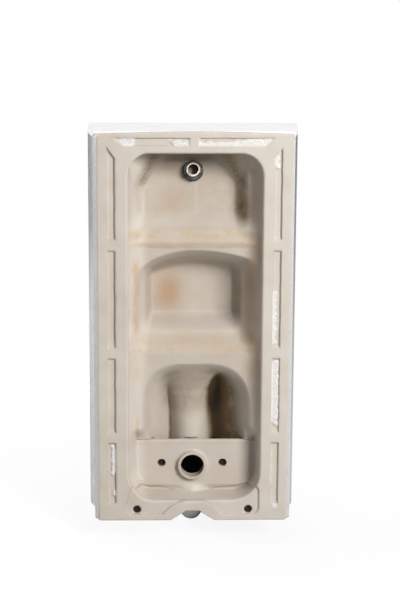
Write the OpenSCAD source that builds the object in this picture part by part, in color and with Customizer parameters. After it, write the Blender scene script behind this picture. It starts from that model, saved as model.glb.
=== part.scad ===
// Wall-hung washout urinal in vitreous china, with its inlet spud and strainer.
// The wall is the plane y = 0, +Z is up and the fixture reaches out toward -Y.
// The origin is where the axis of the waste outlet crosses the wall.

/* [Body] */
// Width of the flat back that lies on the wall
back_width = 330; // [316:1:344]
// Greatest width, across the side shields
overall_width = 366; // [356:1:380]
// Greatest reach from the wall, at the front of the bowl
overall_depth = 378; // [370:1:400]
// Height of the flat top above the outlet axis
top_height = 600; // [585:1:640]
// Drop of the flat back below the outlet axis
bottom_drop = 88; // [86:1:96]
// Depth of the top ledge from the wall
ledge_depth = 143; // [138:1:155]
// Wall thickness of the cast china
china_wall = 10; // [8:0.5:11]
// Thickness of the frame that lies on the wall
frame_thickness = 14; // [12:0.5:18]
// Sideways step of the frame's edge where it leaves the wall
flare_step = 7; // [3:0.5:9]
// Rise of the arched top edge of the frame
top_arch = 4.5; // [2:0.5:8]

/* [Back opening] */
// Half width of the back opening
opening_half_width = 117.5; // [112:0.5:122]
// Distance of the opening's top edge below the flat top
opening_top_margin = 37; // [32:1:48]
// Drop of the opening's bottom edge below the outlet axis
opening_drop = 52; // [50:1:54]
// Radius of the opening's top corners
opening_top_radius = 38; // [25:1:45]
// Radius of the opening's bottom corners
opening_bottom_radius = 50; // [35:1:55]
// Width of the bevel round the opening
opening_bevel = 6; // [2:0.5:8]

/* [Glaze grooves] */
// Width of the grooves in the wall frame
groove_width = 14; // [8:0.5:16]
// Depth of the grooves
groove_depth = 5; // [2:0.5:7]
// Distance from the middle to the centre line of a side groove
groove_offset = 143; // [138:0.5:145]
// Height of the bridges between one groove and the next
groove_bridge = 19; // [10:1:26]
// Slanted length at the mitred ends of the grooves
groove_mitre = 19; // [12:1:24]

/* [Pockets and webs] */
// Depth of the splash wall's back face from the wall
splash_depth = 120; // [119:1:123]
// Height of the seam under the upper pocket above the outlet axis
upper_web_height = 409; // [400:1:420]
// Height of the seam under the middle pocket above the outlet axis
lower_web_height = 216; // [208:1:226]
// Depth of the webs from the wall, in the middle
web_depth = 36; // [30:1:44]
// Thickness of the rounded web ridges from crest to base
web_ridge = 18; // [16:1:22]
// Lean of the upper pocket's floor, in degrees
lean = 15; // [8:1:18]
// Half width of the upper pocket's floor
upper_floor_half_width = 86; // [78:1:92]
// Half width of the middle pocket's floor
middle_floor_half_width = 72; // [62:1:84]
// Half width of the lower pocket's floor
lower_floor_half_width = 88; // [80:1:94]

/* [Mounting] */
// Distance between the two wall bolt holes
mounting_spacing = 196; // [186:1:202]
// Drop of the wall bolt holes below the outlet axis
mounting_drop = 69; // [69:0.5:72]
// Radius of the wall bolt holes
mounting_hole_radius = 7.5; // [5:0.5:8]
// Depth of the sunk panel round the wall bolt holes
panel_recess = 5; // [2:0.5:7]
// Radius of the raised collar round the bottom notch
collar_radius = 63.5; // [58:0.5:70]
// Half width of the bottom notch at the lower edge
notch_half_width = 36; // [30:1:40]
// Drop of the notch's flat top below the outlet axis
notch_drop = 71; // [68:1:74]

/* [Outlet and trap] */
// Radius of the waterway
waterway_radius = 20.5; // [18:0.5:21]
// Wall thickness of the trap passage
trap_wall = 7.5; // [6:0.5:8]
// Outer radius of the outlet horn
horn_radius = 25.5; // [25:0.5:28]
// Distance of the horn's end face from the wall
horn_setback = 40; // [36:1:44]
// Distance of the outlet plate's face from the wall
plate_setback = 50; // [47:1:54]
// Thickness of the outlet plate
plate_thickness = 12; // [10:0.5:14]
// Height of the outlet plate's top edge above the outlet axis
plate_top = 46; // [42:1:52]
// Distance between the two outlet flange bolt holes
flange_spacing = 109; // [100:1:120]
// Radius of the outlet flange bolt holes
flange_hole_radius = 7.5; // [5:0.5:8]
// Radius of the trap's rounded keel
keel_radius = 20; // [17:0.5:22]
// Distance of the keel's centre outside the waterway's centre line
keel_offset = 13.5; // [12:0.5:16]

/* [Bowl] */
// Height of the bowl's front lip above the outlet axis
lip_height = 165; // [155:1:180]
// Height of the lip's band above the cast basin
lip_band = 18; // [12:1:24]
// Drop of the bowl's inside floor below the outlet axis
bowl_drop = 33; // [31:1:35]
// Height at which the shields' front edges start to sweep forward
shoulder_height = 420; // [380:1:470]
// Radius of the flat seat round the waste hole
seat_radius = 36; // [34:1:40]

/* [Flushing] */
// Distance of the spud axis below the flat top
spud_drop = 78; // [74:1:84]
// Distance of the spud's seat from the wall
spud_setback = 84; // [80:1:87]
// Outer radius of the spud's threaded tube
spud_radius = 12.3; // [11:0.1:13.5]
// Bore radius of the spud
spud_bore = 8.7; // [7:0.1:9]
// Thread pitch of the spud
spud_pitch = 1.8; // [1.4:0.1:2.4]
// Width across the flats of the lock nut
nut_across_flats = 31; // [29:0.5:33]
// Number of wash holes under the ledge
wash_holes = 11; // [7:2:13]
// Radius of a wash hole
wash_hole_radius = 2.5; // [1.5:0.5:3]

/* [Strainer] */
// Radius of the strainer disc
strainer_radius = 31; // [28:0.5:33]
// Thickness of the strainer disc
strainer_thickness = 1.6; // [1:0.1:2.5]
// Radius of a strainer hole
strainer_hole = 2.8; // [2:0.1:3]

/* [Hidden] */

$fn = 96;
// Facets of the blended shapes, the blended outlines, the small holes and the wide arch
blend_fn = 28;
outline_fn = 48;
hole_fn = 24;
arch_fn = 1440;
// Thickness of the slices that blended shapes run between, and the bevel's start behind the wall
blend_slice = 0.1;
mouth_slice = 0.5;
bevel_start = 0.5;
// Clearance at seams between curved faces
seam = 0.3;
// Overrun of cutting shapes
cut = 2;

bisque = "#cdc0ac";
glaze = "#f3f3f1";

// Frame and shields
back_half = back_width / 2;
body_half = overall_width / 2;
frame_half = back_half + flare_step;
shield_inner = body_half - china_wall;
arch_radius = (pow(back_half, 2) + pow(top_arch, 2)) / (2 * top_arch);
// Height of the glazed strip that shows above the arch
arch_margin = 1;
ledge_thickness = 12;
ledge_bottom = top_height - ledge_thickness;
ledge_edge_radius = 8;
ledge_corner_radius = 4;
rail_split = -20;
panel_margin = 10;
notch_top_half = 14;
notch_chamfer = 5;

// Grooves: height of their lowest end, margins of the top one and middles of the bridges
groove_foot = -66;
groove_top_margin = 10;
groove_corner_drop = 25;
groove_middle_gap = 8;
low_bridge_rise = 18;
high_bridge_drop = 3;
bridge_heights = [groove_foot - groove_bridge / 2, plate_top + low_bridge_rise, lower_web_height,
    upper_web_height - high_bridge_drop, top_height - groove_corner_drop + groove_bridge / 2];

// Back opening
opening_top = top_height - opening_top_margin;
opening_bottom = -opening_drop;

// Pocket floors, each set back from the seams above and below it
floor_top_margin = 14;
upper_floor_rise = 26;
middle_floor_drop = 42;
middle_floor_rise = 40;
lower_floor_drop = 51;
lower_floor_rise = 12;
upper_floor_bottom = upper_web_height + upper_floor_rise;
upper_floor_top = opening_top - floor_top_margin;
middle_floor_top = upper_web_height - middle_floor_drop;
middle_floor_bottom = lower_web_height + middle_floor_rise;
lower_floor_top = lower_web_height - lower_floor_drop;
lower_floor_bottom = opening_bottom + lower_floor_rise;
upper_floor_radius = 26;
middle_floor_radius = 30;
lower_floor_radius = 34;
mouth_radius = 30;

// The upper pocket's floor leans, so that the spud points up and back
spud_height = top_height - spud_drop;
function floor_depth(z) = spud_setback - (spud_height - z) * tan(lean);
function floor_front(z) = floor_depth(z) + china_wall / cos(lean);

// Webs: the crest is an arc that meets the side walls at the frame
web_radius = (pow(opening_half_width, 2) + pow(web_depth - frame_thickness, 2))
    / (2 * (web_depth - frame_thickness));
web_centre = web_radius - web_depth;
web_side_gap = 3;
web_angle = asin((opening_half_width - web_side_gap) / web_radius);
upper_web_half = 15;
lower_web_half = 18;
web_corner = 10;
upper_web_drop = 2;
lower_web_drop = 1;
upper_web_middle = upper_web_height - upper_web_drop;
lower_web_middle = lower_web_height - lower_web_drop;

// Trap: riser against the splash wall, bend under the bowl
trap_radius = waterway_radius + trap_wall;
bowl_axis = overall_depth - body_half;
plate_front = plate_setback + plate_thickness;
riser_depth = splash_depth - trap_radius - seam;
elbow_radius = riser_depth - plate_front;
bend_radius = (bowl_axis - riser_depth) / 2;
bend_depth = (bowl_axis + riser_depth) / 2;
floor_thickness = 12;
bend_height = -bowl_drop - floor_thickness;

// Bowl
bowl_top = lip_height - lip_band;
splash_face = splash_depth + china_wall;
bowl_steps = 14;
bowl_power = 2.5;
rim_power = 4;
shield_drop = 10;
shield_reach = 4;
shield_bottom = bottom_drop + shield_drop;
shield_foot_depth = ledge_depth + shield_reach;
shield_foot_radius = 10;
function along(a, b, t) = a + (b - a) * t;
function basin_curve(reach, low) = [
    for (i = [0:bowl_steps])
        let (t = i / bowl_steps)
        [along(seat_radius, reach, t), along(low, bowl_top, pow(t, bowl_power))]
];
basin_inside = basin_curve(shield_inner, -bowl_drop);
basin_outside = basin_curve(body_half, bend_height);
clip_share = (shield_inner - seat_radius) / (body_half - seat_radius);
clip_height = along(bend_height, bowl_top, pow(clip_share, bowl_power));
basin_under = concat([for (p = basin_outside) if (p[0] < shield_inner) p],
    [[shield_inner, clip_height]]);
function rim_height(depth) = along(lip_height, shoulder_height,
    pow((overall_depth - depth) / (overall_depth - ledge_depth), rim_power));
function backward(points) = [for (i = [len(points) - 1:-1:0]) points[i]];
function mirrored(points) = [for (p = points) [-p[0], p[1]]];
function flip(points) = backward(mirrored(points));

// Column behind the outlet plate and pads in the top corners
column_foot_half = 37;
column_waist_half = 35;
column_waist_height = 100;
column_shoulder_half = 58;
column_shoulder_height = 163;
column_top_half = 86;
column_top_drop = 14;
column_top_height = lower_web_height - column_top_drop;
// Depths of the column's near side, which leans out above the outlet plate
column_waist_near = plate_front + seam;
column_shoulder_lean = 9;
column_top_lean = 14;
column_shoulder_near = plate_front - column_shoulder_lean;
column_top_near = plate_front - column_top_lean;
plate_edge_radius = 5;
pad_setback = 50;
pad_inner = 60;
pad_overhang = 24;
pad_reach = upper_floor_half_width + pad_overhang;
pad_height = 109;
pad_slant = 12;
flange_hole_height = 3;
strainer_collar = 5;
strainer_collar_wall = 1.2;
strainer_clearance = 1;

// Spud stack, measured along its own axis from the leaning floor
gasket_fit = 0.1;
gasket_sleeve = 16;
gasket_collar = 18;
sleeve_clearance = 0.2;
spot_depth = 0.5;
spot_margin = 1;
collar_top = 4;
ring_top = 5.6;
ring_inset = 1;
nut_top = 13.6;
spud_top = 24;
sleeve_overhang = 4;
sleeve_end = -china_wall - sleeve_overhang;
spud_flange = 15.2;
spud_flange_thickness = 4;
flange_end = sleeve_end - spud_flange_thickness;
thread_depth = 0.6;
thread_turns = 5;

// Spreader under the ledge, and flushing chamber round the inner end of the spud
spreader_height = 24;
spreader_bottom = ledge_bottom - spreader_height;
spreader_wall = 4;
chamber_half_width = 60;
chamber_wall = 6;
chamber_room = 3;
chamber_top_gap = 3;
chamber_step_drop = 8;
chamber_top = ledge_bottom - chamber_top_gap;
chamber_bottom = spud_height + flange_end * sin(lean) - gasket_sleeve - chamber_room - chamber_wall;
chamber_step = upper_floor_top - chamber_step_drop;
chamber_shoulder = opening_top - chamber_top_gap;
slot_height = 8;
slot_margin = 4;
slot_rise = 11;
slot_middle = spreader_bottom + slot_rise;

// Steps of the curves in the side profile
foot_steps = 6;
sweep_steps = 12;

// Extrudes an (x, z) outline from one depth behind the wall to another
module from_back(near, far) {
    rotate([90, 0, 0])
        translate([0, 0, near])
            linear_extrude(far - near)
                children();
}

// Extrudes a (y, z) outline across the width
module across(width) {
    rotate([90, 0, 90])
        translate([0, 0, -width / 2])
            linear_extrude(width)
                children();
}

// Outline with its own corner radius below and above
module rounded(half, low, high, low_radius, high_radius) {
    for (side = [-1, 1]) {
        translate([side * (half - low_radius), low + low_radius]) circle(low_radius);
        translate([side * (half - high_radius), high - high_radius]) circle(high_radius);
    }
    translate([-half, low + low_radius]) square([2 * half, high - low - low_radius - high_radius]);
    translate([-half + low_radius, low]) square([2 * (half - low_radius), low_radius + cut]);
    translate([-half + high_radius, high - high_radius - cut])
        square([2 * (half - high_radius), high_radius + cut]);
}

module opening_outline(grow) {
    rounded(opening_half_width + grow, opening_bottom - grow, opening_top + grow,
        opening_bottom_radius + grow, opening_top_radius + grow);
}

// One side groove between two heights, with a mitred top end where asked
module side_groove(low, high, mitred) {
    inner = groove_offset - groove_width / 2;
    outer = groove_offset + groove_width / 2;
    polygon([[inner, low], [outer, low], [outer, high], [inner, high - (mitred ? groove_mitre : 0)]]);
}

module top_groove() {
    high = top_height - groove_top_margin;
    low = high - groove_width;
    reach = groove_offset - groove_width / 2;
    polygon([[groove_middle_gap, low], [reach - groove_width, low], [reach, high],
        [groove_middle_gap, high]]);
}

module grooves() {
    last = len(bridge_heights) - 2;
    for (side = [0, 1])
        mirror([side, 0, 0])
            from_back(-cut, groove_depth) {
                for (i = [0:last])
                    side_groove(bridge_heights[i] + groove_bridge / 2,
                        bridge_heights[i + 1] - groove_bridge / 2, i == last);
                top_groove();
            }
}

module frame_blank() {
    difference() {
        intersection() {
            translate([0, 0, -bottom_drop])
                linear_extrude(top_height + bottom_drop)
                    polygon([[-back_half, 0], [back_half, 0], [frame_half, -frame_thickness],
                        [-frame_half, -frame_thickness]]);
            from_back(-cut, frame_thickness + cut)
                translate([0, top_height - arch_margin - arch_radius])
                    circle(arch_radius, $fn = arch_fn);
        }
        from_back(-cut, frame_thickness + cut) opening_outline(0);
        hull() {
            from_back(-bevel_start, blend_slice - bevel_start)
                opening_outline(opening_bevel + seam, $fn = outline_fn);
            from_back(opening_bevel, opening_bevel + blend_slice)
                opening_outline(seam, $fn = outline_fn);
        }
        grooves();
    }
}

module wall_frame() {
    color(bisque)
        intersection() {
            frame_blank();
            translate([-overall_width, -frame_thickness - cut, rail_split])
                cube([2 * overall_width, frame_thickness + 2 * cut, 2 * top_height]);
        }
}

// Sunk panel beside the raised collar
module rail_panel() {
    low = panel_margin - bottom_drop;
    high = opening_bottom_radius / 2 - opening_drop;
    difference() {
        translate([-opening_half_width, low]) square([2 * opening_half_width, high - low]);
        translate([0, -opening_drop - collar_radius]) circle(collar_radius);
    }
}

// Bottom notch: a flat top with cut corners over sides that spread downward
module notch_outline() {
    foot = [notch_half_width + cut, -bottom_drop - cut];
    corner = [notch_top_half + notch_chamfer, -notch_drop - notch_chamfer];
    top = [notch_top_half, -notch_drop];
    polygon([[-foot[0], foot[1]], [-corner[0], corner[1]], [-top[0], top[1]], top, corner, foot]);
}

module mounting_rail() {
    color(bisque)
        difference() {
            frame_blank();
            translate([-overall_width, -frame_thickness - cut, rail_split])
                cube([2 * overall_width, frame_thickness + 2 * cut, 2 * top_height]);
            from_back(-cut, panel_recess) rail_panel();
            from_back(-cut, frame_thickness + cut) notch_outline();
            for (side = [-1, 1])
                translate([side * mounting_spacing / 2, cut, -mounting_drop])
                    rotate([90, 0, 0])
                        cylinder(r = mounting_hole_radius, h = frame_thickness + 2 * cut);
        }
}

// A drafted pocket: its mouth lies on the frame, its floor corners are round
module pocket_space(low, high, low_radius, high_radius, half, floor_low, floor_high, low_depth,
    high_depth, radius, slope, grow) {
    hull() {
        from_back(frame_thickness, frame_thickness + mouth_slice)
            rounded(opening_half_width + grow, low - grow, high + grow, low_radius + grow,
                high_radius + grow, $fn = blend_fn);
        for (side = [-1, 1])
            for (end = [[floor_low + radius, low_depth], [floor_high - radius, high_depth]])
                translate([side * (half - radius), -end[1] + radius * cos(slope),
                    end[0] + radius * sin(slope)])
                    sphere(radius + grow, $fn = blend_fn);
    }
}

module upper_space(grow) {
    low = upper_floor_bottom + upper_floor_radius;
    high = upper_floor_top - upper_floor_radius;
    pocket_space(upper_web_height + china_wall + seam, opening_top, mouth_radius,
        opening_top_radius, upper_floor_half_width, upper_floor_bottom, upper_floor_top,
        floor_depth(low), floor_depth(high), upper_floor_radius, lean, grow);
}

module middle_space(grow) {
    floor = splash_depth - china_wall;
    pocket_space(lower_web_height + china_wall + seam, upper_web_height - china_wall - seam,
        mouth_radius, mouth_radius, middle_floor_half_width, middle_floor_bottom,
        middle_floor_top, floor, floor, middle_floor_radius, 0, grow);
}

module lower_space(grow) {
    pocket_space(opening_bottom, lower_web_height - china_wall - seam, opening_bottom_radius,
        mouth_radius, lower_floor_half_width, lower_floor_bottom, lower_floor_top,
        splash_depth + cut, splash_depth + cut, lower_floor_radius, 0, grow);
}

// Space in front of a web's base, between the side walls
module web_clearance(middle, half) {
    intersection() {
        translate([0, web_centre, middle - half - china_wall])
            cylinder(r = web_radius + web_ridge + seam, h = 2 * half + 2 * china_wall);
        translate([0, 0, middle - half - china_wall - cut])
            linear_extrude(2 * half + 2 * china_wall + 2 * cut)
                polygon([[-opening_half_width, cut], [opening_half_width, cut],
                    [opening_half_width, -frame_thickness],
                    [upper_floor_half_width, -splash_depth], [-upper_floor_half_width, -splash_depth],
                    [-opening_half_width, -frame_thickness]]);
    }
}

// Room between the frame and the splash wall
module cavity_room() {
    from_back(frame_thickness, splash_depth)
        translate([-overall_width, -top_height])
            square([2 * overall_width, 3 * top_height]);
}

module upper_pocket() {
    color(bisque)
        difference() {
            intersection() {
                upper_space(china_wall);
                cavity_room();
            }
            upper_space(0);
            web_clearance(upper_web_middle, upper_web_half);
            at_spud() {
                translate([0, 0, -2 * china_wall])
                    cylinder(r = gasket_sleeve + sleeve_clearance, h = 4 * china_wall);
                translate([0, 0, -spot_depth])
                    cylinder(r = gasket_collar + spot_margin, h = 2 * china_wall);
            }
        }
}

module middle_pocket() {
    color(bisque)
        difference() {
            intersection() {
                middle_space(china_wall);
                cavity_room();
            }
            middle_space(0);
            web_clearance(upper_web_middle, upper_web_half);
            web_clearance(lower_web_middle, lower_web_half);
        }
}

module lower_pocket() {
    color(bisque)
        difference() {
            intersection() {
                lower_space(china_wall);
                cavity_room();
            }
            lower_space(0);
            web_clearance(lower_web_middle, lower_web_half);
            trap_way();
        }
}

// Rounded ridge that follows the crest arc
module web_ridge_bar(middle, half) {
    translate([0, web_centre, middle])
        rotate([0, 0, -90 - web_angle])
            rotate_extrude(angle = 2 * web_angle)
                union() {
                    for (side = [-1, 1])
                        translate([web_radius + web_corner, side * (half - web_corner)]) circle(web_corner);
                    translate([web_radius, web_corner - half])
                        square([web_ridge, 2 * (half - web_corner)]);
                    translate([web_radius + web_corner, -half])
                        square([web_ridge - web_corner, 2 * half]);
                }
}

module upper_web() {
    color(bisque)
        difference() {
            web_ridge_bar(upper_web_middle, upper_web_half);
            upper_pocket();
            middle_pocket();
        }
}

module lower_web() {
    color(bisque)
        difference() {
            web_ridge_bar(lower_web_middle, lower_web_half);
            middle_pocket();
            lower_pocket();
        }
}

// Slanted pad that cuts off a top corner of the upper pocket
module hanger_pad() {
    intersection() {
        upper_space(-seam);
        hull() {
            from_back(pad_setback, pad_setback + blend_slice)
                polygon([[pad_inner + pad_slant, opening_top], [pad_reach, opening_top],
                    [pad_reach, opening_top - pad_height + 2 * pad_slant]]);
            from_back(splash_depth, splash_depth + blend_slice)
                polygon([[pad_inner, opening_top], [pad_reach, opening_top],
                    [pad_reach, opening_top - pad_height]]);
        }
    }
}

module right_hanger_pad() {
    color(bisque) hanger_pad();
}

module left_hanger_pad() {
    color(bisque) mirror([1, 0, 0]) hanger_pad();
}

// Half ellipse against the splash wall
module column_slice(height, half, near) {
    intersection() {
        translate([0, -splash_depth, height])
            scale([half, splash_depth - near, 1])
                cylinder(r = 1, h = mouth_slice, $fn = outline_fn);
        cavity_room();
    }
}

// Waisted back of the bowl, above the outlet
module bowl_back_column() {
    foot = trap_radius + seam;
    color(bisque)
        intersection() {
            lower_space(-seam);
            union() {
                hull() {
                    column_slice(foot, column_foot_half, column_waist_near);
                    column_slice(column_waist_height, column_waist_half, column_waist_near);
                }
                hull() {
                    column_slice(column_waist_height, column_waist_half, column_waist_near);
                    column_slice(column_shoulder_height, column_shoulder_half,
                        column_shoulder_near);
                }
                hull() {
                    column_slice(column_shoulder_height, column_shoulder_half,
                        column_shoulder_near);
                    column_slice(column_top_height, column_top_half, column_top_near);
                }
            }
        }
}

module outlet_plate() {
    color(bisque)
        difference() {
            intersection() {
                from_back(plate_setback, plate_front)
                    translate([-opening_half_width, opening_bottom - china_wall])
                        square([2 * opening_half_width, plate_top - opening_bottom + china_wall]);
                lower_space(-seam);
            }
            translate([0, -horn_setback + cut, 0])
                rotate([90, 0, 0]) cylinder(r = horn_radius + seam, h = plate_front);
            for (side = [-1, 1])
                translate([side * flange_spacing / 2, -horn_setback, flange_hole_height])
                    rotate([90, 0, 0]) cylinder(r = flange_hole_radius, h = plate_front);
            bend_solid(seam);
            translate([0, -plate_setback, plate_top])
                difference() {
                    translate([-opening_half_width, -plate_edge_radius, -plate_edge_radius])
                        cube([2 * opening_half_width, plate_edge_radius + cut,
                            plate_edge_radius + cut]);
                    translate([-opening_half_width, -plate_edge_radius, -plate_edge_radius])
                        rotate([0, 90, 0])
                            cylinder(r = plate_edge_radius, h = 2 * opening_half_width);
                }
        }
}

module outlet_horn() {
    color(bisque)
        translate([0, -horn_setback, 0])
            rotate([90, 0, 0])
                difference() {
                    cylinder(r = horn_radius, h = plate_front - horn_setback);
                    translate([0, 0, -cut])
                        cylinder(r = waterway_radius, h = plate_front - horn_setback + 2 * cut);
                }
}

// Ring segment in the plane x = 0, between two angles measured from +Y toward +Z
module yz_ring(depth, height, from_angle, turn) {
    translate([0, -depth, height])
        rotate([90, 0, 90])
            rotate([0, 0, from_angle])
                rotate_extrude(angle = turn)
                    children();
}

module trap_elbow() {
    color(bisque)
        yz_ring(plate_front, -elbow_radius, 90, 90)
            translate([elbow_radius, 0])
                difference() {
                    circle(trap_radius);
                    circle(waterway_radius);
                }
}

// Way for the trap through the bottom of the lower pocket, open toward the splash wall
module trap_way() {
    foot = opening_bottom - 2 * china_wall;
    half = trap_radius + 2 * seam;
    translate([0, 0, foot])
        linear_extrude(-foot) {
            translate([0, -riser_depth]) rotate(90) bend_section(2 * seam);
            translate([-half, -splash_depth - cut])
                square([2 * half, splash_depth + cut - riser_depth]);
        }
}

module trap_riser() {
    color(bisque)
        translate([0, -riser_depth, 0])
            pipe(trap_radius, waterway_radius, bend_height, -elbow_radius);
}

// Section of the trap bend, with the narrower keel on its outer side
module bend_section(grow) {
    lean_in = (trap_radius - keel_radius) / keel_offset;
    lean_out = sqrt(1 - pow(lean_in, 2));
    big = trap_radius + grow;
    small = keel_radius + grow;
    circle(big);
    translate([keel_offset, 0]) circle(small);
    polygon([[big * lean_in, -big * lean_out], [keel_offset + small * lean_in, -small * lean_out],
        [keel_offset + small * lean_in, small * lean_out], [big * lean_in, big * lean_out]]);
}

module bend_solid(grow) {
    yz_ring(bend_depth, bend_height, 180, 180)
        translate([bend_radius, 0])
            bend_section(grow);
}

module trap_bend() {
    color(glaze)
        difference() {
            bend_solid(0);
            yz_ring(bend_depth, bend_height, 180, 180)
                translate([bend_radius, 0]) circle(waterway_radius);
        }
}

// Round front half of the basin, with a straight part that runs back to the splash wall
module bowl_basin() {
    color(glaze)
        difference() {
            union() {
                translate([0, -bowl_axis, 0])
                    rotate([0, 0, 180])
                        rotate_extrude(angle = 180)
                            polygon(concat([[0, bend_height]], basin_outside,
                                backward(basin_inside), [[0, -bowl_drop]]));
                from_back(splash_face, bowl_axis)
                    polygon(concat(flip(basin_under), basin_under, backward(basin_inside),
                        mirrored(basin_inside)));
            }
            translate([0, -bowl_axis, bend_height - cut])
                cylinder(r = waterway_radius, h = floor_thickness + 2 * cut);
        }
}

// Band above the basin whose top edge sweeps up toward the shields
module bowl_lip() {
    color(glaze)
        intersection() {
            translate([0, -bowl_axis, bowl_top])
                difference() {
                    cylinder(r = body_half, h = shoulder_height);
                    translate([0, 0, -cut]) cylinder(r = shield_inner, h = shoulder_height + 2 * cut);
                }
            across(overall_width + 2 * cut)
                polygon(concat([[-bowl_axis, bowl_top], [-overall_depth - cut, bowl_top],
                    [-overall_depth - cut, lip_height]],
                    [for (i = [sweep_steps:-1:0])
                        let (depth = along(bowl_axis, overall_depth, i / sweep_steps))
                        [-depth, rim_height(depth)]]));
        }
}

module splash_wall() {
    slot_half = chamber_half_width - chamber_wall - slot_margin;
    color(glaze)
        difference() {
            from_back(splash_depth, splash_face)
                polygon(concat(flip(basin_under), basin_under, [[shield_inner, ledge_bottom],
                    [-shield_inner, ledge_bottom]]));
            translate([-slot_half, -splash_face - cut, slot_middle - slot_height / 2])
                cube([2 * slot_half, china_wall + 2 * cut, slot_height]);
        }
}

// Side view of a shield: straight above, sweeping forward to the lip, drawn back at the foot
module shield_profile() {
    foot = -shield_bottom;
    join = clip_height;
    polygon(concat(
        [[0, ledge_bottom], [-ledge_depth, ledge_bottom]],
        [for (i = [0:sweep_steps])
            let (depth = along(ledge_depth, bowl_axis, i / sweep_steps))
            [-depth, rim_height(depth)]],
        [for (i = [0:foot_steps])
            let (t = i / foot_steps)
            [-along(bowl_axis, shield_foot_depth, 1 - pow(1 - t, 2)),
                along(join, foot + shield_foot_radius, t)]],
        [for (a = [15:15:90])
            [-shield_foot_depth + shield_foot_radius * (1 - cos(a)),
                foot + shield_foot_radius * (1 - sin(a))]],
        [[0, -bottom_drop]]));
}

module shield() {
    intersection() {
        translate([0, 0, -shield_bottom - cut])
            linear_extrude(ledge_bottom + shield_bottom + 2 * cut)
                polygon([[frame_half, -frame_thickness], [body_half, -splash_depth],
                    [body_half, -bowl_axis], [shield_inner, -bowl_axis],
                    [shield_inner, -splash_depth], [frame_half - china_wall, -frame_thickness]]);
        across(overall_width + 2 * cut) shield_profile();
    }
}

module right_shield() {
    color(glaze) shield();
}

module left_shield() {
    color(glaze) mirror([1, 0, 0]) shield();
}

module ledge_outline() {
    front = [for (a = [0:-15:-90])
        [body_half - ledge_corner_radius * (1 - cos(a)),
            -ledge_depth + ledge_corner_radius * (1 + sin(a))]];
    polygon(concat([[-frame_half, -frame_thickness], [frame_half, -frame_thickness],
        [body_half, -splash_depth]], front, flip(front), [[-body_half, -splash_depth]]));
}

module top_ledge() {
    color(glaze)
        intersection() {
            translate([0, 0, ledge_bottom])
                linear_extrude(top_height - ledge_bottom) ledge_outline();
            across(overall_width + 2 * cut)
                union() {
                    translate([ledge_edge_radius - ledge_depth, ledge_bottom])
                        square([ledge_depth, top_height - ledge_bottom]);
                    translate([-ledge_depth, ledge_bottom])
                        square([ledge_depth, top_height - ledge_bottom - ledge_edge_radius]);
                    translate([ledge_edge_radius - ledge_depth, top_height - ledge_edge_radius])
                        circle(ledge_edge_radius);
                }
        }
}

// Walls that close the water space between the leaning floor and the splash wall
module flush_chamber() {
    color(bisque)
        difference() {
            across(2 * chamber_half_width)
                polygon([[-splash_depth, chamber_bottom], [-splash_depth, chamber_top],
                    [-floor_front(chamber_shoulder) - seam, chamber_top],
                    [-floor_front(chamber_shoulder) - seam, chamber_shoulder],
                    [-floor_front(chamber_bottom) - seam, chamber_bottom]]);
            across(2 * (chamber_half_width - chamber_wall))
                polygon([[-splash_depth - cut, chamber_bottom + chamber_wall],
                    [-splash_depth - cut, chamber_top - chamber_wall],
                    [-floor_front(chamber_shoulder) - chamber_wall, chamber_top - chamber_wall],
                    [-floor_front(chamber_shoulder) - chamber_wall, chamber_step],
                    [cut - floor_front(chamber_step), chamber_step],
                    [cut - floor_front(chamber_bottom), chamber_bottom + chamber_wall]]);
        }
}

// Hollow bar under the front of the ledge, with a row of wash holes
module wash_spreader() {
    half = shield_inner - seam;
    pitch = (2 * half - 4 * spreader_wall) / (wash_holes + 1);
    middle = (splash_face + ledge_depth) / 2;
    color(glaze)
        difference() {
            from_back(splash_face, ledge_depth)
                translate([-half, spreader_bottom])
                    square([2 * half, ledge_bottom - spreader_bottom]);
            from_back(splash_face - cut, ledge_depth - spreader_wall)
                translate([spreader_wall - half, spreader_bottom + spreader_wall])
                    square([2 * (half - spreader_wall), ledge_bottom - spreader_bottom - 2 * spreader_wall]);
            for (i = [0:wash_holes - 1])
                translate([(i - (wash_holes - 1) / 2) * pitch, -middle, spreader_bottom - cut])
                    cylinder(r = wash_hole_radius, h = spreader_wall + 2 * cut, $fn = hole_fn);
        }
}

// Local frame of the spud: +Z runs out of the leaning floor
module at_spud() {
    translate([0, -spud_setback, spud_height])
        rotate([lean - 90, 0, 0])
            children();
}

module pipe(outer, inner, low, high) {
    difference() {
        translate([0, 0, low]) cylinder(r = outer, h = high - low);
        translate([0, 0, low - cut]) cylinder(r = inner, h = high - low + 2 * cut);
    }
}

module inlet_spud() {
    color("#b9b4a8")
        at_spud()
            difference() {
                union() {
                    translate([0, 0, flange_end]) cylinder(r = spud_radius, h = spud_top - flange_end);
                    translate([0, 0, flange_end]) cylinder(r = spud_flange, h = sleeve_end - flange_end);
                }
                translate([0, 0, flange_end - cut])
                    cylinder(r = spud_bore, h = spud_top - flange_end + 2 * cut);
                for (i = [1:thread_turns])
                    translate([0, 0, spud_top - i * spud_pitch])
                        pipe(spud_radius + cut, spud_radius - thread_depth, -spud_pitch / 4,
                            spud_pitch / 4);
            }
}

module spud_gasket() {
    bore = spud_radius + gasket_fit;
    color("#1d1d1e")
        at_spud() {
            pipe(gasket_sleeve, bore, sleeve_end, -spot_depth);
            pipe(gasket_collar, bore, -spot_depth, collar_top);
        }
}

module friction_ring() {
    color("#8f8d88")
        at_spud() pipe(gasket_collar - ring_inset, spud_radius + gasket_fit, collar_top, ring_top);
}

module spud_lock_nut() {
    color("#a9a7a1")
        at_spud()
            difference() {
                translate([0, 0, ring_top])
                    cylinder(r = nut_across_flats / sqrt(3), h = nut_top - ring_top, $fn = 6);
                translate([0, 0, ring_top - cut])
                    cylinder(r = spud_radius + gasket_fit, h = nut_top - ring_top + 2 * cut);
            }
}

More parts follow.
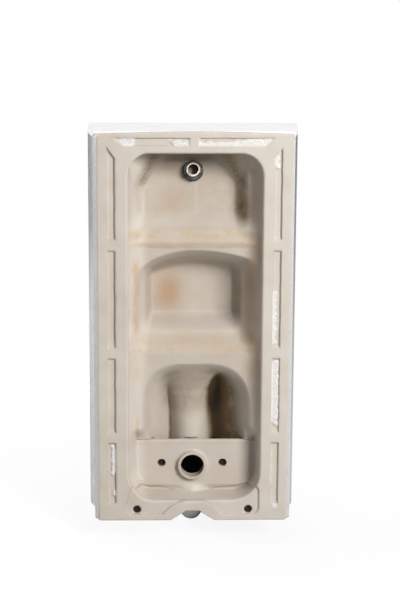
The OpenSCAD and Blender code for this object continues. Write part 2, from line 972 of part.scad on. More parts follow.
// Loose disc with one middle hole and two rings of holes, over the waste hole.
// Each ring has its number of holes and its share of the disc's radius.
module strainer() {
    rings = [[6, 0.34], [12, 0.72]];
    collar = waterway_radius - strainer_clearance;
    color("#c9cbcc")
        translate([0, -bowl_axis, -bowl_drop + seam])
            difference() {
                union() {
                    cylinder(r = strainer_radius, h = strainer_thickness);
                    translate([0, 0, -strainer_collar])
                        cylinder(r = collar, h = strainer_collar);
                }
                translate([0, 0, -strainer_collar - cut])
                    cylinder(r = collar - strainer_collar_wall, h = strainer_collar + cut);
                translate([0, 0, -cut]) cylinder(r = strainer_hole, h = 3 * cut);
                for (ring = rings)
                    for (i = [0:ring[0] - 1])
                        rotate([0, 0, 360 * i / ring[0]])
                            translate([ring[1] * strainer_radius, 0, -cut])
                                cylinder(r = strainer_hole, h = 3 * cut);
            }
}

wall_frame();
mounting_rail();
upper_pocket();
middle_pocket();
lower_pocket();
upper_web();
lower_web();
left_hanger_pad();
right_hanger_pad();
bowl_back_column();
outlet_plate();
outlet_horn();
trap_elbow();
trap_riser();
trap_bend();
bowl_basin();
bowl_lip();
splash_wall();
left_shield();
right_shield();
top_ledge();
flush_chamber();
wash_spreader();
inlet_spud();
spud_gasket();
friction_ring();
spud_lock_nut();
strainer();
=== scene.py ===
"""Looks of a wall-hung urinal in vitreous china, seen from its unglazed back.

The cast back, its pockets and the glazed shell are numpy surfaces in the CAD part's frame:
the wall is y = 0, +Z is up and the fixture reaches out toward -Y. Shapes are worked out in
millimetres and go into the meshes in metres.
"""

import logging
from dataclasses import dataclass
from enum import Enum

import bpy
import numpy as np
from mathutils import Matrix, Vector


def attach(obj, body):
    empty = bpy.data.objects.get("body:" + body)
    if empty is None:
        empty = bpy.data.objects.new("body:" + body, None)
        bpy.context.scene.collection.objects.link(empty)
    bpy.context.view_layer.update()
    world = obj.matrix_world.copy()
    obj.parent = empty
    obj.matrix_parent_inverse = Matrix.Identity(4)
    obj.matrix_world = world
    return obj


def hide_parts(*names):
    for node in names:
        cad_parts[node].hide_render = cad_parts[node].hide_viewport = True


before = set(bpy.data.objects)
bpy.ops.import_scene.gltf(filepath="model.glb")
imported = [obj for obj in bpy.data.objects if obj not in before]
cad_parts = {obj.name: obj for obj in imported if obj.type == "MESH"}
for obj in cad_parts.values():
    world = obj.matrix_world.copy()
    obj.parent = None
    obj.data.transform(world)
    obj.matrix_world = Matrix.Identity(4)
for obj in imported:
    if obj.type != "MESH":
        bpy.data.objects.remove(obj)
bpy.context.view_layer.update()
LOG = logging.getLogger("urinal")
MM = 0.001
BODY = "urinal"
GLAZED_NODES = ("trap_bend", "bowl_basin", "bowl_lip", "splash_wall", "left_shield", "right_shield",
                "top_ledge", "wash_spreader")
PASSAGE_NODES = ("trap_elbow", "trap_riser")


# Small numbers and curves


def smooth(share: np.ndarray) -> np.ndarray:
    """Smooth step from 0 to 1: 3 t squared minus 2 t cubed, with t clipped to 0..1."""
    t = np.clip(share, 0.0, 1.0)
    return t * t * (3.0 - 2.0 * t)


def soft_min(a: np.ndarray, b: np.ndarray, width: float) -> np.ndarray:
    """Lesser of a and b, rounded over a width: the lesser minus a parabola where they are close."""
    near = np.clip(1.0 - np.abs(a - b) / width, 0.0, 1.0)
    return np.minimum(a, b) - near * near * width * 0.25


def bell(value: np.ndarray, centre: float, width: float) -> np.ndarray:
    """Bell curve: e to the power of minus the square of the distance from the centre over the width."""
    return np.exp(-(((value - centre) / width) ** 2))


def window(value: np.ndarray, low: float, rise: float, high: float, fall: float) -> np.ndarray:
    """0 outside low and high, with a smooth rise to 1 above low and a smooth fall below high."""
    return smooth((value - low) / rise) * smooth((high - value) / fall)


def quarter_round(radius: float, over: np.ndarray) -> np.ndarray:
    """Fall of a quarter round: the radius minus the root of its square less the square of over."""
    return radius - np.sqrt(np.maximum(radius**2 - over**2, 0))


def box_distance(
    x: np.ndarray,
    z: np.ndarray,
    half: float,
    low: float,
    high: float,
    low_radius: float,
    high_radius: float,
) -> np.ndarray:
    """Signed distance to an upright rounded rectangle about x = 0, negative inside.

    Args:
        x, z: points in the plane of the wall.
        half, low, high: half width, lower and upper edge.
        low_radius, high_radius: corner radii below and above.
    """
    middle, reach = (low + high) / 2, (high - low) / 2
    radius = np.where(z > middle, high_radius, low_radius)
    across = np.abs(x) - half + radius
    along = np.abs(z - middle) - reach + radius
    outside = np.hypot(np.maximum(across, 0), np.maximum(along, 0))
    return outside + np.minimum(np.maximum(across, along), 0) - radius


def polygon_distance(x: np.ndarray, z: np.ndarray, corners: list) -> np.ndarray:
    """Signed distance to a convex polygon whose corners run anticlockwise, negative inside.

    The distance is the least to any edge, and the sign comes from the greatest side value.
    """
    points = np.array(corners, float)
    nearest = np.full(np.shape(x), 1e9)
    side = np.full(np.shape(x), -1e9)
    for start, end in zip(points, np.roll(points, -1, axis=0)):
        edge = end - start
        length = np.hypot(*edge)
        px, pz = x - start[0], z - start[1]
        t = np.clip((px * edge[0] + pz * edge[1]) / length**2, 0, 1)
        nearest = np.minimum(nearest, np.hypot(px - t * edge[0], pz - t * edge[1]))
        side = np.maximum(side, (px * edge[1] - pz * edge[0]) / length)
    return np.where(side > 0, nearest, -nearest)


def ripple(x: np.ndarray, y: np.ndarray, z: np.ndarray, size: float, seed: float) -> np.ndarray:
    """Gentle unevenness in -1..1: a mean of five sine waves that cross at different angles.

    Args:
        x, y, z: points in millimetres.
        size: about the length of one wave in millimetres.
        seed: shifts the waves, so that two uses differ.
    """
    total = np.zeros(np.broadcast(x, y, z).shape)
    for i in range(5):
        turn = seed * 1.7 + i * 2.4
        pitch = 2 * np.pi / (size * (0.7 + 0.17 * i))
        lean = np.sin(seed + i * 1.3)
        total += np.sin(pitch * (x * np.cos(turn) + z * np.sin(turn) + y * lean) + seed * 9 + i * i)
    return total / 5.0


def spaced(parts: list) -> np.ndarray:
    """Numbers through several stretches, each (start, end, steps), without repeats."""
    lines = [np.linspace(a, b, n + 1)[:-1] for a, b, n in parts]
    return np.concatenate(lines + [np.array([parts[-1][1]])])


def snap_to_circles(x: np.ndarray, z: np.ndarray, circles: list, band: float) -> tuple:
    """Grid points within a band of a circle, moved along the radius onto it.

    Args:
        x, z: grids of points.
        circles: (x, z, radius) of each circle.
        band: greatest move.

    Returns:
        The moved grids.
    """
    x, z = x.copy(), z.copy()
    for cx, cz, radius in circles:
        dx, dz = x - cx, z - cz
        reach = np.hypot(dx, dz)
        pull = np.where(np.abs(reach - radius) < band, radius / np.maximum(reach, 1e-6), 1.0)
        x, z = cx + dx * pull, cz + dz * pull
    return x, z


def side_by_side(parts: list, rows: int) -> tuple:
    """Pairs of grids joined along their columns.

    Args:
        parts: pairs of grids, each with one row or with all of them.
        rows: number of rows that each grid is spread over.

    Returns:
        The first grids as one, and the second grids as one.
    """
    return tuple(
        np.concatenate([np.broadcast_to(part[k], (rows, part[k].shape[1])) for part in parts], axis=1)
        for k in (0, 1)
    )


# Meshes


class Shell:
    """Points and faces of one piece while it is worked out, in millimetres."""

    def __init__(self) -> None:
        """Starts with no points."""
        self.points = np.zeros((0, 3))
        self.faces: list = []
        self.values: dict = {}

    def add_grid(
        self,
        grid: np.ndarray,
        flip: bool = False,
        wrap: bool = False,
        **values: np.ndarray,
    ) -> None:
        """Adds a grid of points as four-sided faces.

        Args:
            grid: (rows, columns, 3) points.
            flip: turns the faces the other way round.
            wrap: joins the last column to the first.
            values: numbers per point, kept as attributes.
        """
        rows, columns = grid.shape[:2]
        index = np.arange(rows * columns).reshape(rows, columns) + len(self.points)
        if wrap:
            index = np.concatenate([index, index[:, :1]], axis=1)
        a, b, c, d = index[:-1, :-1], index[:-1, 1:], index[1:, 1:], index[1:, :-1]
        quads = np.stack([a, d, c, b] if flip else [a, b, c, d], axis=-1).reshape(-1, 4)
        for name in sorted(set(self.values) | set(values)):
            old = self.values.get(name, np.zeros(len(self.points)))
            new = np.broadcast_to(values.get(name, 0.0), (rows, columns)).reshape(-1)
            self.values[name] = np.concatenate([old, new])
        self.points = np.concatenate([self.points, grid.reshape(-1, 3)])
        self.faces.append(quads)

    def add_cap(self, ring: np.ndarray, flip: bool) -> None:
        """Closes a ring of points with a ladder of faces between its two halves."""
        half = (len(ring) + 1) // 2
        self.add_grid(np.stack([ring[:half], ring[::-1][:half]]), flip=flip)

    def quads(self) -> np.ndarray:
        """All faces as one (n, 4) array."""
        return np.concatenate(self.faces)

    def merge(self, grain: float = 0.02) -> None:
        """Joins points that lie within the grain of each other and drops faces that have shrunk to a line."""
        key = np.round(self.points / grain).astype(np.int64)
        _, first, inverse = np.unique(key, axis=0, return_index=True, return_inverse=True)
        inverse = inverse.reshape(-1)
        quads = inverse[self.quads()]
        distinct = np.sort(quads, axis=1)
        repeats = (np.diff(distinct, axis=1) == 0).sum(axis=1)
        self.points = self.points[first]
        self.values = {name: value[first] for name, value in self.values.items()}
        self.faces = [quads[repeats <= 1]]

    def cut_holes(self, circles: list, slack: float = 0.3) -> None:
        """Drops the faces whose middle lies inside a circle, each (x, z, radius), by more than the slack."""
        centres = self.points[self.quads()].mean(axis=1)
        keep = np.ones(len(centres), bool)
        for cx, cz, radius in circles:
            keep &= np.hypot(centres[:, 0] - cx, centres[:, 2] - cz) > radius - slack
        self.faces = [self.quads()[keep]]

    def normals(self) -> np.ndarray:
        """Unit normal at each point: the sum of the cross products of its faces' diagonals."""
        quads = self.quads()
        p = self.points[quads]
        cross = np.cross(p[:, 2] - p[:, 0], p[:, 3] - p[:, 1])
        total = np.zeros_like(self.points)
        for k in range(4):
            np.add.at(total, quads[:, k], cross)
        length = np.linalg.norm(total, axis=1, keepdims=True)
        return total / np.maximum(length, 1e-12)

    def rim(self) -> np.ndarray:
        """Edges (a, b) that only one face uses, in that face's direction."""
        quads = self.quads()
        edges = np.concatenate([quads[:, [k, (k + 1) % 4]] for k in range(4)])
        edges = edges[edges[:, 0] != edges[:, 1]]
        key = np.sort(edges, axis=1)
        _, index, count = np.unique(key, axis=0, return_index=True, return_counts=True)
        return edges[index[count == 1]]

    def close_with(self, back: np.ndarray) -> None:
        """Makes a closed wall: a second skin at the given points, turned round, and faces along the rim.

        Args:
            back: one point of the second skin for each point there is.
        """
        quads, edges, count = self.quads(), self.rim(), len(self.points)
        self.points = np.concatenate([self.points, back])
        self.values = {name: np.concatenate([value, value]) for name, value in self.values.items()}
        strip = np.stack([edges[:, 1], edges[:, 0], edges[:, 0] + count, edges[:, 1] + count], axis=1)
        self.faces = [quads, quads[:, ::-1] + count, strip]

    def face_outward(self) -> None:
        """Turns all faces round if the closed shape's signed volume is negative."""
        quads = self.quads()
        p = self.points[quads]
        triple = np.cross(p[:, 1], p[:, 2]) + np.cross(p[:, 2], p[:, 3])
        if np.einsum("ij,ij", p[:, 0], triple) < 0:
            self.faces = [quads[:, ::-1]]

    def include(self, other: "Shell") -> None:
        """Takes in another shape as it is."""
        self.faces.append(other.quads() + len(self.points))
        self.points = np.concatenate([self.points, other.points])

    def build(self, name: str, material: bpy.types.Material, edge_angle: float) -> bpy.types.Object:
        """Puts the piece into the scene, in metres.

        Args:
            name: the piece's name.
            material: its finish.
            edge_angle: edges sharper than this many degrees keep a crisp line.

        Returns:
            The new object, which rides on nothing yet.
        """
        quads = self.quads()
        same = quads == np.roll(quads, 1, axis=1)
        turned = np.stack([np.roll(quads, -k, axis=1) for k in range(4)])
        narrow = same.any(axis=1)
        triangles = turned[np.argmax(same, axis=1), np.arange(len(quads))][narrow][:, 1:]
        mesh = bpy.data.meshes.new(name)
        mesh.from_pydata((self.points * MM).tolist(), [], quads[~narrow].tolist() + triangles.tolist())
        mesh.update()
        mesh.validate()
        for key, value in self.values.items():
            attribute = mesh.attributes.new(key, "FLOAT", "POINT")
            attribute.data.foreach_set("value", value.astype(np.float32))
        mesh.polygons.foreach_set("use_smooth", np.ones(len(mesh.polygons), bool))
        mesh.materials.append(material)
        mesh.set_sharp_from_angle(angle=np.radians(edge_angle))
        thing = bpy.data.objects.new(name, mesh)
        bpy.context.scene.collection.objects.link(thing)
        return thing


def ride(thing: bpy.types.Object, nodes: tuple, body: str = BODY) -> None:
    """Lets a piece ride on a body and stand for CAD nodes, and reports it."""
    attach(thing, body)
    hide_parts(*nodes)
    points = len(thing.data.vertices)
    LOG.info("%s: %d points, stands for %s", thing.name, points, ", ".join(nodes))


# Materials


class Nodes:
    """Short way to add and join nodes of one tree."""

    def __init__(self, tree: bpy.types.NodeTree) -> None:
        """Keeps the tree."""
        self.tree = tree

    def add(self, kind: str, **settings: object) -> bpy.types.Node:
        """Adds a node and sets its properties, or the sockets of that name with in_ before it."""
        node = self.tree.nodes.new(kind)
        for key, value in settings.items():
            if key.startswith("in_"):
                self.feed(node, key[3:], value)
            else:
                setattr(node, key, value)
        return node

    def feed(self, node: bpy.types.Node, name: str, value: object) -> None:
        """Joins or sets one input, named by its label or its number."""
        socket = node.inputs[int(name)] if name.isdigit() else node.inputs[name.replace("_", " ")]
        if isinstance(value, bpy.types.NodeSocket):
            self.tree.links.new(value, socket)
        else:
            socket.default_value = value

    def math(self, operation: str, a: object, b: object = 0.0, clamp: bool = False) -> bpy.types.NodeSocket:
        """One sum of two numbers."""
        node = self.add("ShaderNodeMath", operation=operation, use_clamp=clamp)
        self.feed(node, "0", a)
        self.feed(node, "1", b)
        return node.outputs[0]

    def mix(self, share: object, a: object, b: object) -> bpy.types.NodeSocket:
        """Colour between a and b."""
        node = self.add("ShaderNodeMix", data_type="RGBA")
        self.feed(node, "0", share)
        self.feed(node, "6", a)
        self.feed(node, "7", b)
        return node.outputs[2]

    def between(
        self,
        value: object,
        low: float,
        high: float,
        to_low: float = 0.0,
        to_high: float = 1.0,
    ) -> bpy.types.NodeSocket:
        """Value carried smoothly from low..high to to_low..to_high."""
        node = self.add("ShaderNodeMapRange", interpolation_type="SMOOTHSTEP")
        names = ("From Min", "From Max", "To Min", "To Max")
        for name, number in zip(names, (low, high, to_low, to_high)):
            node.inputs[name].default_value = number
        self.feed(node, "Value", value)
        return node.outputs[0]

    def noise(
        self,
        place: object,
        scale: float,
        detail: float = 3.0,
        rough: float = 0.5,
        twist: float = 0.0,
    ) -> bpy.types.NodeSocket:
        """Noise value at a place."""
        node = self.add("ShaderNodeTexNoise")
        self.feed(node, "Vector", place)
        names = ("Scale", "Detail", "Roughness", "Distortion")
        for name, number in zip(names, (scale, detail, rough, twist)):
            node.inputs[name].default_value = number
        return node.outputs["Fac"]

    def place(self) -> bpy.types.NodeSocket:
        """Object coordinates of the piece, in metres."""
        return self.add("ShaderNodeTexCoord").outputs["Object"]

    def attribute(self, name: str) -> bpy.types.NodeSocket:
        """Number that the mesh keeps for each point."""
        return self.add("ShaderNodeAttribute", attribute_name=name).outputs["Fac"]

    def bump(self, shader: bpy.types.Node, height: object, strength: float, distance: float) -> None:
        """Tilts a shader's normal by a height, with the distance in metres."""
        node = self.add("ShaderNodeBump", in_Height=height)
        node.inputs["Strength"].default_value = strength
        node.inputs["Distance"].default_value = distance
        self.feed(shader, "Normal", node.outputs[0])


def linear(red: int, green: int, blue: int) -> tuple:
    """Screen colour 0..255 as the linear colour that a shader takes: a straight toe, then a power curve."""
    toe, slope, offset, power = 0.04045, 12.92, 0.055, 2.4
    screen = np.array([red, green, blue]) / 255.0
    value = np.where(screen <= toe, screen / slope, ((screen + offset) / (1 + offset)) ** power)
    return (*[float(v) for v in value], 1.0)


def group_with(name: str, inputs: list, outputs: list) -> tuple:
    """New shader group.

    Args:
        name: its name.
        inputs: (name, kind, value) of each input.
        outputs: (name, kind) of each output.

    Returns:
        The group, its Nodes helper, the input node and the output node.
    """
    tree = bpy.data.node_groups.new(name, "ShaderNodeTree")
    for label, kind, value in inputs:
        socket = tree.interface.new_socket(label, in_out="INPUT", socket_type=kind)
        if kind != "NodeSocketVector":
            socket.default_value = value
    for label, kind in outputs:
        tree.interface.new_socket(label, in_out="OUTPUT", socket_type=kind)
    nodes = Nodes(tree)
    return tree, nodes, nodes.add("NodeGroupInput"), nodes.add("NodeGroupOutput")


def cast_skin_group() -> bpy.types.NodeTree:
    """Group for the skin of cast china: cloudy tone, fine speckle and the height of its unevenness."""
    number, vector = "NodeSocketFloat", "NodeSocketVector"
    tree, n, source, sink = group_with(
        "cast_skin",
        [("Place", vector, None), ("Speckle", number, 0.5), ("Waves", number, 1.0), ("Grain", number, 1.0)],
        [("Cloud", number), ("Specks", number), ("Height", number)],
    )
    place = source.outputs["Place"]
    cloud = n.between(n.noise(place, 9.0, 4.0, 0.55, 0.6), 0.32, 0.70)
    pits = n.between(n.noise(place, 900.0, 2.0, 0.6), 0.66, 0.74)
    dots = n.between(n.noise(place, 420.0, 2.0, 0.5), 0.68, 0.75)
    specks = n.math("MULTIPLY", n.math("MAXIMUM", pits, dots), source.outputs["Speckle"])
    broad = n.math("MULTIPLY", n.noise(place, 22.0, 2.0, 0.5), source.outputs["Waves"])
    fine = n.math("MULTIPLY", n.noise(place, 380.0, 3.0, 0.6), source.outputs["Grain"])
    height = n.math("ADD", n.math("MULTIPLY", broad, 0.6), n.math("MULTIPLY", fine, 0.03))
    for label, value in (("Cloud", cloud), ("Specks", specks), ("Height", height)):
        n.feed(sink, label, value)
    return tree


def new_material(name: str) -> tuple:
    """New node material with one Principled shader.

    Returns:
        The material, its Nodes helper and its shader.
    """
    material = bpy.data.materials.new(name)
    material.use_nodes = True
    shader = material.node_tree.nodes["Principled BSDF"]
    return material, Nodes(material.node_tree), shader


@dataclass(frozen=True)
class Bisque:
    """Unglazed cast china: cream with pinkish clouds, rust stains, brown deposits and runs of glaze, with
    painted shade and painted light laid on by its attributes.
    """

    pale: tuple = linear(190, 182, 171)
    warm: tuple = linear(181, 170, 157)
    pink: tuple = linear(174, 145, 118)
    # Pale tone: mostly painted light on lit faces, partly the china's own paler tone and streak.
    light: tuple = linear(200, 193, 184)
    rust: tuple = linear(183, 148, 102)
    # Brown of dirt and specks, also used for painted shade.
    brown: tuple = linear(112, 93, 68)
    # Near black: painted shade in deep hollows, through holes and the waterway behind the plate.
    dark: tuple = linear(38, 33, 27)
    glaze: tuple = linear(228, 227, 226)
    thin_glaze: tuple = linear(203, 200, 197)
    speckle: float = 0.35
    relief: float = 0.55
    relief_height: float = 0.0012
    shine: float = 0.2

    def stains_and_painted_light(self, n: Nodes, place: object, colour: object) -> bpy.types.NodeSocket:
        """Colour under the piece's marks: pink, or paler where painted light is laid on, then rust, brown for
        dirt and painted shade, and black painted shade.
        """
        blush, stain, grime = (n.attribute(name) for name in ("blush", "stain", "grime"))
        colour = n.mix(n.math("MAXIMUM", blush, 0.0), colour, self.pink)
        # Paler where the value is below 0: painted light, partly a real paler tone.
        colour = n.mix(n.math("MULTIPLY", blush, -1.0, True), colour, self.light)
        streak = n.between(n.noise(place, 70.0, 5.0, 0.7, 1.2), 0.35, 0.62)
        stain = n.math("MULTIPLY", stain, n.math("ADD", n.math("MULTIPLY", streak, 0.75), 0.25), True)
        colour = n.mix(stain, colour, self.rust)
        dirt = n.between(n.noise(place, 60.0, 3.0, 0.5, 0.8), 0.30, 0.65, 0.75, 1.0)
        # Brown: real dirt, and painted shade in hollows and corners.
        colour = n.mix(n.math("MULTIPLY", grime, dirt, True), colour, self.brown)
        # Black painted shade where the value passes 1.1.
        return n.mix(n.between(grime, 1.1, 1.8), colour, self.dark)

    def glazed(self, n: Nodes, place: object, colour: object, rough: object, height: object) -> tuple:
        """Adds the runs of white glaze, which are ragged at the edge and beaded.

        Args:
            n: helper of the material's nodes.
            place: object coordinates.
            colour, rough, height: the surface without glaze.

        Returns:
            The same three with the glaze.
        """
        ragged = n.math("ADD", n.attribute("glaze"), n.math("MULTIPLY", n.noise(place, 160.0, 4.0, 0.6), 0.5))
        run = n.between(ragged, 0.72, 0.84)
        beads = n.between(n.noise(place, 520.0, 3.0, 0.7, 0.6), 0.40, 0.60)
        colour = n.mix(n.math("MULTIPLY", run, 0.9), colour, n.mix(beads, self.thin_glaze, self.glaze))
        rough = n.math("ADD", rough, n.math("MULTIPLY", run, -0.34))
        beaded = n.math("ADD", n.math("MULTIPLY", beads, 0.25), 0.35)
        return colour, rough, n.math("ADD", height, n.math("MULTIPLY", run, beaded))

    def make(self, name: str, skin: bpy.types.NodeTree, marked: bool) -> bpy.types.Material:
        """Builds the material.

        Args:
            name: its name.
            skin: the shared group for cast china.
            marked: reads the piece's attributes for rust stains, dirt with painted shade, glaze, and pink
                tint with painted light.
        """
        material, n, shader = new_material(name)
        place = n.place()
        cast = n.add("ShaderNodeGroup", node_tree=skin, in_Place=place)
        cast.inputs["Speckle"].default_value = self.speckle
        colour = n.mix(cast.outputs["Cloud"], self.pale, self.warm)
        colour = n.mix(n.math("MULTIPLY", cast.outputs["Specks"], 0.6), colour, self.brown)
        rough = n.between(n.noise(place, 60.0, 3.0, 0.6), 0.3, 0.7, 0.42, 0.58)
        height = cast.outputs["Height"]
        if marked:
            colour = self.stains_and_painted_light(n, place, colour)
            colour, rough, height = self.glazed(n, place, colour, rough, height)
        n.feed(shader, "Roughness", rough)
        n.feed(shader, "Base Color", colour)
        n.bump(shader, height, self.relief, self.relief_height)
        shader.inputs["Specular IOR Level"].default_value = self.shine
        return material


@dataclass(frozen=True)
class Glaze:
    """White china glaze: glossy, faintly rippled, with a few dark specks."""

    white: tuple = linear(241, 241, 241)
    cool: tuple = linear(233, 234, 236)
    speck: tuple = linear(150, 140, 125)
    speckle: float = 0.12
    grain: float = 0.15
    relief: float = 0.22
    relief_height: float = 0.0012
    coat: float = 0.6
    coat_roughness: float = 0.06

    def make(self, name: str, skin: bpy.types.NodeTree) -> bpy.types.Material:
        """Builds the material on the shared group for cast china."""
        material, n, shader = new_material(name)
        place = n.place()
        cast = n.add("ShaderNodeGroup", node_tree=skin, in_Place=place)
        cast.inputs["Speckle"].default_value = self.speckle
        cast.inputs["Grain"].default_value = self.grain
        colour = n.mix(cast.outputs["Cloud"], self.white, self.cool)
        n.feed(shader, "Base Color", n.mix(cast.outputs["Specks"], colour, self.speck))
        n.feed(shader, "Roughness", n.between(n.noise(place, 35.0, 3.0, 0.5), 0.3, 0.7, 0.10, 0.20))
        n.bump(shader, cast.outputs["Height"], self.relief, self.relief_height)
        shader.inputs["Coat Weight"].default_value = self.coat
        shader.inputs["Coat Roughness"].default_value = self.coat_roughness
        return material


@dataclass(frozen=True)
class Metal:
    """Worn metal or rubber, or the near-black painted shade of the waterway: two tones by patches, with
    tarnish in its roughness.

    A colour for the bore is mixed in where the piece's bore attribute says so.
    """

    bright: tuple
    dull: tuple
    metallic: float = 1.0
    smoothness: tuple = (0.18, 0.42)
    patch: float = 160.0
    relief: float = 0.25
    relief_height: float = 0.0004
    bore: tuple = ()

    def make(self, name: str) -> bpy.types.Material:
        """Builds the material."""
        material, n, shader = new_material(name)
        place = n.place()
        patches = n.between(n.noise(place, self.patch, 4.0, 0.6, 0.5), 0.38, 0.66)
        colour = n.mix(patches, self.bright, self.dull)
        if self.bore:
            colour = n.mix(n.attribute("bore"), colour, self.bore)
        n.feed(shader, "Base Color", colour)
        low, high = self.smoothness
        tarnish = n.noise(place, self.patch * 2.5, 3.0, 0.6)
        n.feed(shader, "Roughness", n.between(tarnish, 0.3, 0.7, low, high))
        shader.inputs["Metallic"].default_value = self.metallic
        n.bump(shader, n.noise(place, self.patch * 6.0, 3.0, 0.6), self.relief, self.relief_height)
        return material


class Finish(Enum):
    """The finishes that the pieces choose from."""

    BISQUE = "bisque"
    # Bisque with rust, dirt, pink tint, and painted shade and painted light from each piece's attributes.
    STAINS_AND_PAINTED_LIGHT = "stained bisque"
    GLAZE = "glaze"
    BRASS = "spud metal"
    STEEL = "nut metal"
    RUBBER = "rubber"
    STRAINER = "strainer steel"
    # Near black: painted shade inside the trap's waterway.
    PASSAGE = "dark waterway"


def make_finishes() -> dict:
    """All finishes by their name in Finish."""
    skin = cast_skin_group()
    spud = Metal(
        linear(222, 218, 212),
        linear(160, 152, 143),
        smoothness=(0.16, 0.32),
        patch=60.0,
        bore=linear(98, 62, 36),
    )
    nut = Metal(linear(118, 116, 113), linear(52, 50, 47), smoothness=(0.14, 0.32), patch=40.0)
    # Painted shade: the trap's waterway is drawn near black.
    waterway = Metal(linear(24, 22, 19), linear(14, 13, 12), metallic=0.0, smoothness=(0.6, 0.8))
    rubber = Metal(linear(26, 26, 27), linear(48, 47, 45), metallic=0.0, smoothness=(0.35, 0.6))
    strainer = Metal(linear(205, 207, 208), linear(168, 168, 166), smoothness=(0.15, 0.3))
    return {
        Finish.BISQUE: Bisque().make("unglazed_china", skin, False),
        Finish.STAINS_AND_PAINTED_LIGHT: Bisque().make("unglazed_china_stains_and_painted_light", skin, True),
        Finish.GLAZE: Glaze().make("white_glazed_china", skin),
        Finish.BRASS: spud.make("spud_metal"),
        Finish.STEEL: nut.make("nut_metal"),
        Finish.PASSAGE: waterway.make("waterway_painted_shade"),
        Finish.RUBBER: rubber.make("black_rubber"),
        Finish.STRAINER: strainer.make("strainer_steel"),
    }


# The cast back


